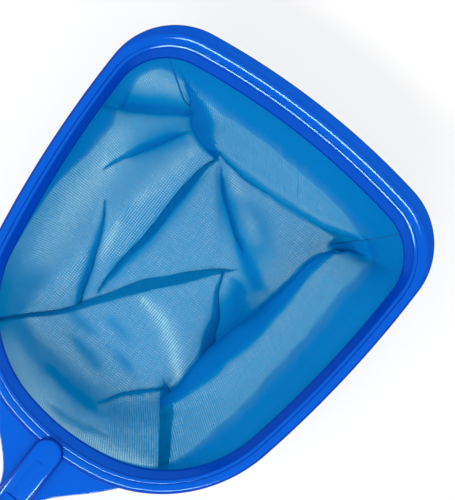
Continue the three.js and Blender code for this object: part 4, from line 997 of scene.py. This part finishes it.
def weave_group():
    """Threads of a plain weave from flat-cloth coordinates: their cover, their height and tone, which
    painted shade deepens.
    """
    group, entry, leave = node_group(
        "plain_weave", "ShaderNodeTree",
        {"Flat": "Vector", "Pitch": "Float", "Cover": "Float", "Thinned": "Float"},
        {"Cover": "Float", "Height": "Float", "Tone": "Float"})
    pull_and_painted_light_here = entry.outputs["Thinned"]

    def worked(operation, *values, clamp=False):
        """The outcome of one operation in this group."""
        return sum_of(group, operation, *values, clamp=clamp)

    split = add_node(group, "ShaderNodeSeparateXYZ", Vector=entry.outputs["Flat"])
    slubs, threads = [], []
    for axis, stretch, weight in (("X", (900, 60, 1), 1), ("Y", (60, 900, 1), 0.6)):
        drawn_out = add_node(group, "ShaderNodeMapping", Vector=entry.outputs["Flat"], Scale=stretch)
        slub = add_node(group, "ShaderNodeTexNoise", Vector=drawn_out.outputs["Vector"], Scale=1, Detail=2)
        slubs.append(slub.outputs["Fac"])
        turns = worked("DIVIDE", split.outputs[axis], entry.outputs["Pitch"])
        wave = worked("SINE", worked("MULTIPLY", turns, math.tau))
        wave = worked("MULTIPLY", worked("MULTIPLY_ADD", wave, 0.5, 0.5), weight)
        threads.append(worked("MULTIPLY", wave, worked("ADD", slubs[-1], 0.5)))
    body = worked("MAXIMUM", *threads)
    # Pulled cloth covers less. Where layers crowd together its single threads show less, and the
    # tone is deepened with painted shade.
    loose = worked("SUBTRACT", 1.0, pull_and_painted_light_here)
    uneven = worked("SUBTRACT", worked("ADD", *slubs), 1.0)
    uneven = worked("MULTIPLY_ADD", uneven, 0.4, entry.outputs["Cover"])
    apart = worked("ADD", pull_and_painted_light_here, 1.0, clamp=True)
    spread = worked("MULTIPLY", worked("SUBTRACT", body, 0.55), worked("MULTIPLY", apart, 0.7))
    spread = worked("ADD", spread, uneven)
    painted_crowd_shade = worked("MINIMUM", worked("ADD", pull_and_painted_light_here, 0.5), 0.0)
    mean = worked("MULTIPLY", worked("ADD", *slubs), 0.5)
    feed(group, leave, Cover=worked("MULTIPLY", spread, loose), Height=body,
         Tone=worked("ADD", mean, worked("MULTIPLY", painted_crowd_shade, 0.9)))
    return group


plain_weave = weave_group()


def mixed_shader(tree, share, first, second):
    """Two shaders mixed, with this share of the second."""
    node = add_node(tree, "ShaderNodeMixShader", Fac=share)
    connect(tree, node.inputs[1], first)
    connect(tree, node.inputs[2], second)
    return node.outputs["Shader"]


def cloth_material(name, shade, cover):
    """See-through weave: threads scatter light both ways and the gaps show what lies beyond."""
    material, tree, shader = new_material(name)
    flat = tree.nodes.new("ShaderNodeUVMap")
    flat.uv_map = "weave"
    painted_light_and_pull = tree.nodes.new("ShaderNodeAttribute")
    painted_light_and_pull.attribute_name = "pull_and_painted_light"
    weave = tree.nodes.new("ShaderNodeGroup")
    weave.node_tree = plain_weave
    feed(tree, weave, Flat=flat.outputs["UV"], Pitch=WEAVE_PITCH, Cover=cover, Thinned=painted_light_and_pull.outputs["Fac"])
    red, green, blue = shade
    # The darker end of the tone, with less green, is painted shade where the cloth is marked crowded.
    tone = mixed_colour(tree, Factor=weave.outputs["Tone"],
                        A=(red, green * 0.72, blue * 0.98, 1), B=(red, green * 1.25, blue, 1))
    feed(tree, shader, Base_Color=tone, Roughness=0.7, Specular_IOR_Level=0.12,
         Specular_Tint=(0.2, 0.6, 1.0, 1),
         Normal=fine_relief(tree, weave.outputs["Height"], 0.2, 0.3 * MM))
    glow = add_node(tree, "ShaderNodeBsdfTranslucent", Color=tone)
    threads = mixed_shader(tree, 0.48, shader.outputs["BSDF"], glow.outputs["BSDF"])
    # Light that crosses the cloth at a slant passes more threads, so there the gaps close.
    slant = add_node(tree, "ShaderNodeLayerWeight", Blend=0.5)
    square_on = sum_of(tree, "SUBTRACT", 1.04, slant.outputs["Facing"])
    layers = sum_of(tree, "POWER", square_on, -1.6)
    gap = sum_of(tree, "SUBTRACT", 1, weave.outputs["Cover"], clamp=True)
    clear = add_node(tree, "ShaderNodeBsdfTransparent", Color=(0.5, 0.88, 1, 1))
    body = mixed_shader(tree, sum_of(tree, "POWER", gap, layers), threads, clear.outputs["BSDF"])
    feed(tree, tree.nodes["Material Output"], Surface=body)
    return material


bag.data.materials.append(cloth_material("bag_weave", (0.0, 0.225, 0.52), 0.77))
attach(bag, "head")
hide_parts("bag_front_wall", "bag_right_wall", "bag_back_wall", "bag_left_wall", "bag_floor")

# ---------------------------------------------------------------- hem
# The top of the bag is doubled: a denser strip hangs just inside the wall, wide at the lip and the
# right side and narrow at the back, with a soft edge. A cord runs in it where the clamp bites.
# The cloth's normals, turned to the inside of the bag.
down = np.gradient(final_grid, axis=0)
across = np.roll(final_grid, -1, axis=1) - np.roll(final_grid, 1, axis=1)
facing_in = np.cross(down, across)
facing_in /= np.maximum(np.linalg.norm(facing_in, axis=2), 1e-9)[:, :, None]
if facing_in[4, :, 2].mean() < 0:
    facing_in = -facing_in
# The hem's width in mm at some shares of the way round the rim.
hem_widths = np.array([
    (0, 50), (0.07, 52), (0.1, 62), (0.13, 62), (0.16, 56), (0.2, 56), (0.3, 54), (0.36, 44),
    (0.385, 30), (0.41, 10), (0.5, 6), (0.6, 7), (0.68, 8), (0.73, 14), (0.77, 34), (0.81, 38),
    (0.84, 20), (0.868, 16), (0.885, 42), (0.92, 50), (1, 50)])
# It is dense down to HEM_SOLID of its width, and thins from there to its loose edge.
HEM_ROWS, HEM_SOLID, HEM_SMOOTHINGS = 18, 0.62, 60
columns = np.arange(AROUND)
hem_width = np.interp(columns / AROUND, hem_widths[:, 0], hem_widths[:, 1]) * MM
for _ in range(HEM_SMOOTHINGS):
    hem_width = (np.roll(hem_width, 1) + 2 * hem_width + np.roll(hem_width, -1)) / 4
hem_width *= 1 + 0.02 * np.sin(columns * math.tau * 9 / AROUND) * np.sin(columns * math.tau * 23 / AROUND)
row_run = cut_depth[:SLOPE_ROWS + 4]
hem_points, hem_uv, hem_thinned = [], [], []
for step in range(HEM_ROWS):
    share = step / (HEM_ROWS - 1)
    for c in range(AROUND):
        place = np.interp(hem_width[c] * share, row_run[:, c], np.arange(len(row_run)))
        upper = int(min(place, len(row_run) - 2))
        part = place - upper
        spot = final_grid[upper, c] * (1 - part) + final_grid[upper + 1, c] * part
        hem_points.append(spot + facing_in[upper, c] * (0.5 + 0.7 * share) * MM)
        hem_uv.append((rim_run[c] + 0.7 * MM, hem_width[c] * share))
        ragged = 0.03 * math.sin(c * 0.31) * math.sin(c * 0.11)
        hem_thinned.append(float(np.clip((share - HEM_SOLID + ragged) / (1 - HEM_SOLID), 0, 1)) ** 1.2)
hem_faces = grid_faces(HEM_ROWS, AROUND, last_joins_first=False)
hem = new_piece("hem_strip", hem_points, hem_faces)
hem_corner = corners_of(hem)
hem_flat = np.array(hem_uv)[hem_corner]
turned_over = (np.repeat(np.arange(len(hem_faces)), 4) % AROUND == AROUND - 1) & (hem_corner % AROUND == 0)
hem_flat[turned_over, 0] = rim_run[-1]
lay_weave(hem, hem_flat, hem_thinned)
hem.data.materials.append(cloth_material("hem_weave", (0.0, 0.27, 0.66), 1.05))
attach(hem, "head")
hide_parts("hem_band")


def tube(name, path, radius, closed=False, sides=8):
    """A round cord along a path of points, as a closed loop or with a cap on each end."""
    path = np.asarray(path)
    if closed:
        heading = np.roll(path, -1, axis=0) - np.roll(path, 1, axis=0)
    else:
        heading = np.gradient(path, axis=0)
    heading /= np.linalg.norm(heading, axis=1)[:, None]
    side = np.cross(heading, (0, 0, 1.0))
    side /= np.maximum(np.linalg.norm(side, axis=1), 1e-6)[:, None]
    over = np.cross(side, heading)
    points = []
    for i in range(len(path)):
        for k in range(sides):
            turn = math.tau * k / sides
            points.append(path[i] + (side[i] * math.cos(turn) + over[i] * math.sin(turn)) * radius)
    faces = grid_faces(len(path), sides, last_joins_first=closed)
    if not closed:
        faces.append(tuple(range(sides - 1, -1, -1)))
        faces.append(tuple(range((len(path) - 1) * sides, len(path) * sides)))
    return new_piece(name, points, faces)


def thread_material(name, light, dark, turns):
    """Twisted thread: fine slanting strands along the cord, from object coordinates."""
    material, tree, shader = new_material(name)
    where = add_node(tree, "ShaderNodeTexCoord")
    strands = add_node(tree, "ShaderNodeTexWave", Vector=where.outputs["Object"], Scale=turns,
                       Distortion=2)
    strands.bands_direction = "DIAGONAL"
    strands = strands.outputs["Fac"]
    feed(tree, shader, Base_Color=mixed_colour(tree, Factor=strands, A=(*dark, 1), B=(*light, 1)),
         Roughness=0.75, Specular_IOR_Level=0.1, Normal=fine_relief(tree, strands, 1, 0.2 * MM))
    return material


CORD_RADIUS, CORD_SETBACK = 1 * MM, 1.2 * MM
cord_line = opening_line + outward * CORD_SETBACK
hem_cord = tube("hem_cord_run", np.column_stack([cord_line, np.full(STATIONS, BAG_TOP + CORD_SETBACK)]),
                CORD_RADIUS, closed=True)
hem_cord.data.materials.append(thread_material("cord_thread", (0.0, 0.15, 0.45), (0.0, 0.08, 0.3), 260))
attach(hem_cord, "head")
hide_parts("hem_cord")

# ---------------------------------------------------------------- corner seams
# Four seams join the walls. Each is a narrow rolled allowance that runs down its corner from the
# rim to the floor, held by a row of short stitches.
SEAM_RADIUS, SEAM_SETBACK = 0.75 * MM, 0.5 * MM
STITCH_PITCH, STITCH_HALF, STITCH_RISE, STITCH_RADIUS = 3.2 * MM, 1.1 * MM, 0.4 * MM, 0.25 * MM
seam_thread = thread_material("seam_thread", (0.0, 0.17, 0.5), (0.0, 0.1, 0.36), 500)
stitch_places, stitch_headings = [], []
# Each corner stands at a share of the way round the rim.
seam_shares = [("seam_front_right", 0.118), ("seam_back_right", 0.408),
               ("seam_back_left", 0.607), ("seam_front_left", 0.877)]
for node_name, share in seam_shares:
    c = round(share * AROUND) % AROUND
    rows_down = range(1, SLOPE_ROWS + DROP_ROWS - 2)
    path = smoothed(np.array([final_grid[r, c] + facing_in[r, c] * SEAM_SETBACK for r in rows_down]), 3)
    seam = tube(node_name + "_roll", path, SEAM_RADIUS)
    seam.data.materials.append(seam_thread)
    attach(seam, "head")
    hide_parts(node_name)
    run = run_along(path)
    for place in np.arange(2 * MM, run[-1], STITCH_PITCH):
        spot, ahead = read_off(place, run, path), read_off(place + 1 * MM, run, path)
        stitch_places.append(spot + np.array((0, 0, 0.45 * MM)))
        stitch_headings.append((0, 0, math.atan2(ahead[1] - spot[1], ahead[0] - spot[0]) + 0.5))
stitch_pattern = tube("stitch_pattern", [(-STITCH_HALF, 0, 0), (-STITCH_RISE, 0, STITCH_RISE),
                                         (STITCH_RISE, 0, STITCH_RISE), (STITCH_HALF, 0, 0)],
                      STITCH_RADIUS, sides=6)
stitches = repeated("seam_stitches", stitch_pattern, stitch_places, stitch_headings,
                    thread_material("stitch_thread", (0.03, 0.3, 0.62), (0.0, 0.2, 0.5), 900))
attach(stitches, "head")

# ---------------------------------------------------------------- stage
# A plain pale floor, soft lamps and the camera, which looks straight down on the ring.
# At the ring's top one pixel of the picture stands for PIXEL of length.
PIXEL, PICTURE_HEIGHT, SENSOR = 1.0706 * MM, 500, 36
AXIS_TURN = math.radians(37.97)
VIEW_FOOT = Vector((18.1 * MM, 152 * MM, RING_TOP))
VIEW_DISTANCE = 1.5
FLOOR_SIZE, FLOOR_DROP = 6, 0.2 * MM

bpy.ops.mesh.primitive_plane_add(size=FLOOR_SIZE, location=(0, 0, -FLOOR_DROP))
floor = bpy.context.object
floor.name = "floor"
floor_look, floor_tree, floor_shader = new_material("floor_white")
feed(floor_tree, floor_shader, Base_Color=(0.92, 0.92, 0.92, 1), Roughness=0.9)
# To the camera, and in glossy and transmitted light, the floor is mostly an even white.
rays = add_node(floor_tree, "ShaderNodeLightPath")
seen_rays = rays.outputs["Is Camera Ray"]
for kind in ("Is Glossy Ray", "Is Transmission Ray"):
    seen_rays = sum_of(floor_tree, "MAXIMUM", seen_rays, rays.outputs[kind])
paper = add_node(floor_tree, "ShaderNodeEmission")
floor_mix = mixed_shader(floor_tree, sum_of(floor_tree, "MULTIPLY", seen_rays, 0.7),
                         floor_shader.outputs["BSDF"], paper.outputs["Emission"])
feed(floor_tree, floor_tree.nodes["Material Output"], Surface=floor_mix)
floor.data.materials.append(floor_look)

world = bpy.data.worlds.new("studio")
bpy.context.scene.world = world
world.use_nodes = True
feed(world.node_tree, world.node_tree.nodes["Background"], Color=(1, 1, 1, 1), Strength=0.33)


def lamp(name, place, size, power, target=(0.0, 0.08, 0.06)):
    """A soft rectangular lamp that faces the target."""
    data = bpy.data.lights.new(name, "AREA")
    data.shape = "RECTANGLE"
    data.size, data.size_y = size
    data.energy = power
    thing = bpy.data.objects.new(name, data)
    bpy.context.scene.collection.objects.link(thing)
    thing.location = place
    thing.rotation_mode = "QUATERNION"
    thing.rotation_quaternion = (Vector(place) - Vector(target)).to_track_quat("Z", "Y")
    return thing


# One strip makes only the long highlights on the ring, and a box in its place only lights it.
strip_place, strip_target = (0.1, -1.17, 1.89), (0.0, 0.3, 0.13)
highlight = lamp("highlight_strip", strip_place, (2.6, 0.5), 150, strip_target)
highlight.visible_diffuse = False
for box in (lamp("back_box", strip_place, (2.6, 0.42), 46, strip_target),
            lamp("left_box", (-1.9, 0.5, 1.7), (1.6, 1.6), 15),
            lamp("right_box", (1.9, 0.2, 1.7), (1.6, 1.6), 13),
            lamp("front_box", (0.2, 2.2, 2.0), (1.8, 1.6), 20)):
    box.visible_glossy = False

camera_data = bpy.data.cameras.new("camera")
camera = bpy.data.objects.new("camera", camera_data)
bpy.context.scene.collection.objects.link(camera)
camera_data.sensor_width = SENSOR
camera_data.lens = SENSOR * VIEW_DISTANCE / (PICTURE_HEIGHT * PIXEL)
camera.location = VIEW_FOOT + Vector((0, 0, VIEW_DISTANCE))
camera.rotation_euler = (0, 0, AXIS_TURN)
bpy.context.scene.camera = camera

bpy.context.scene.view_settings.view_transform = "Standard"
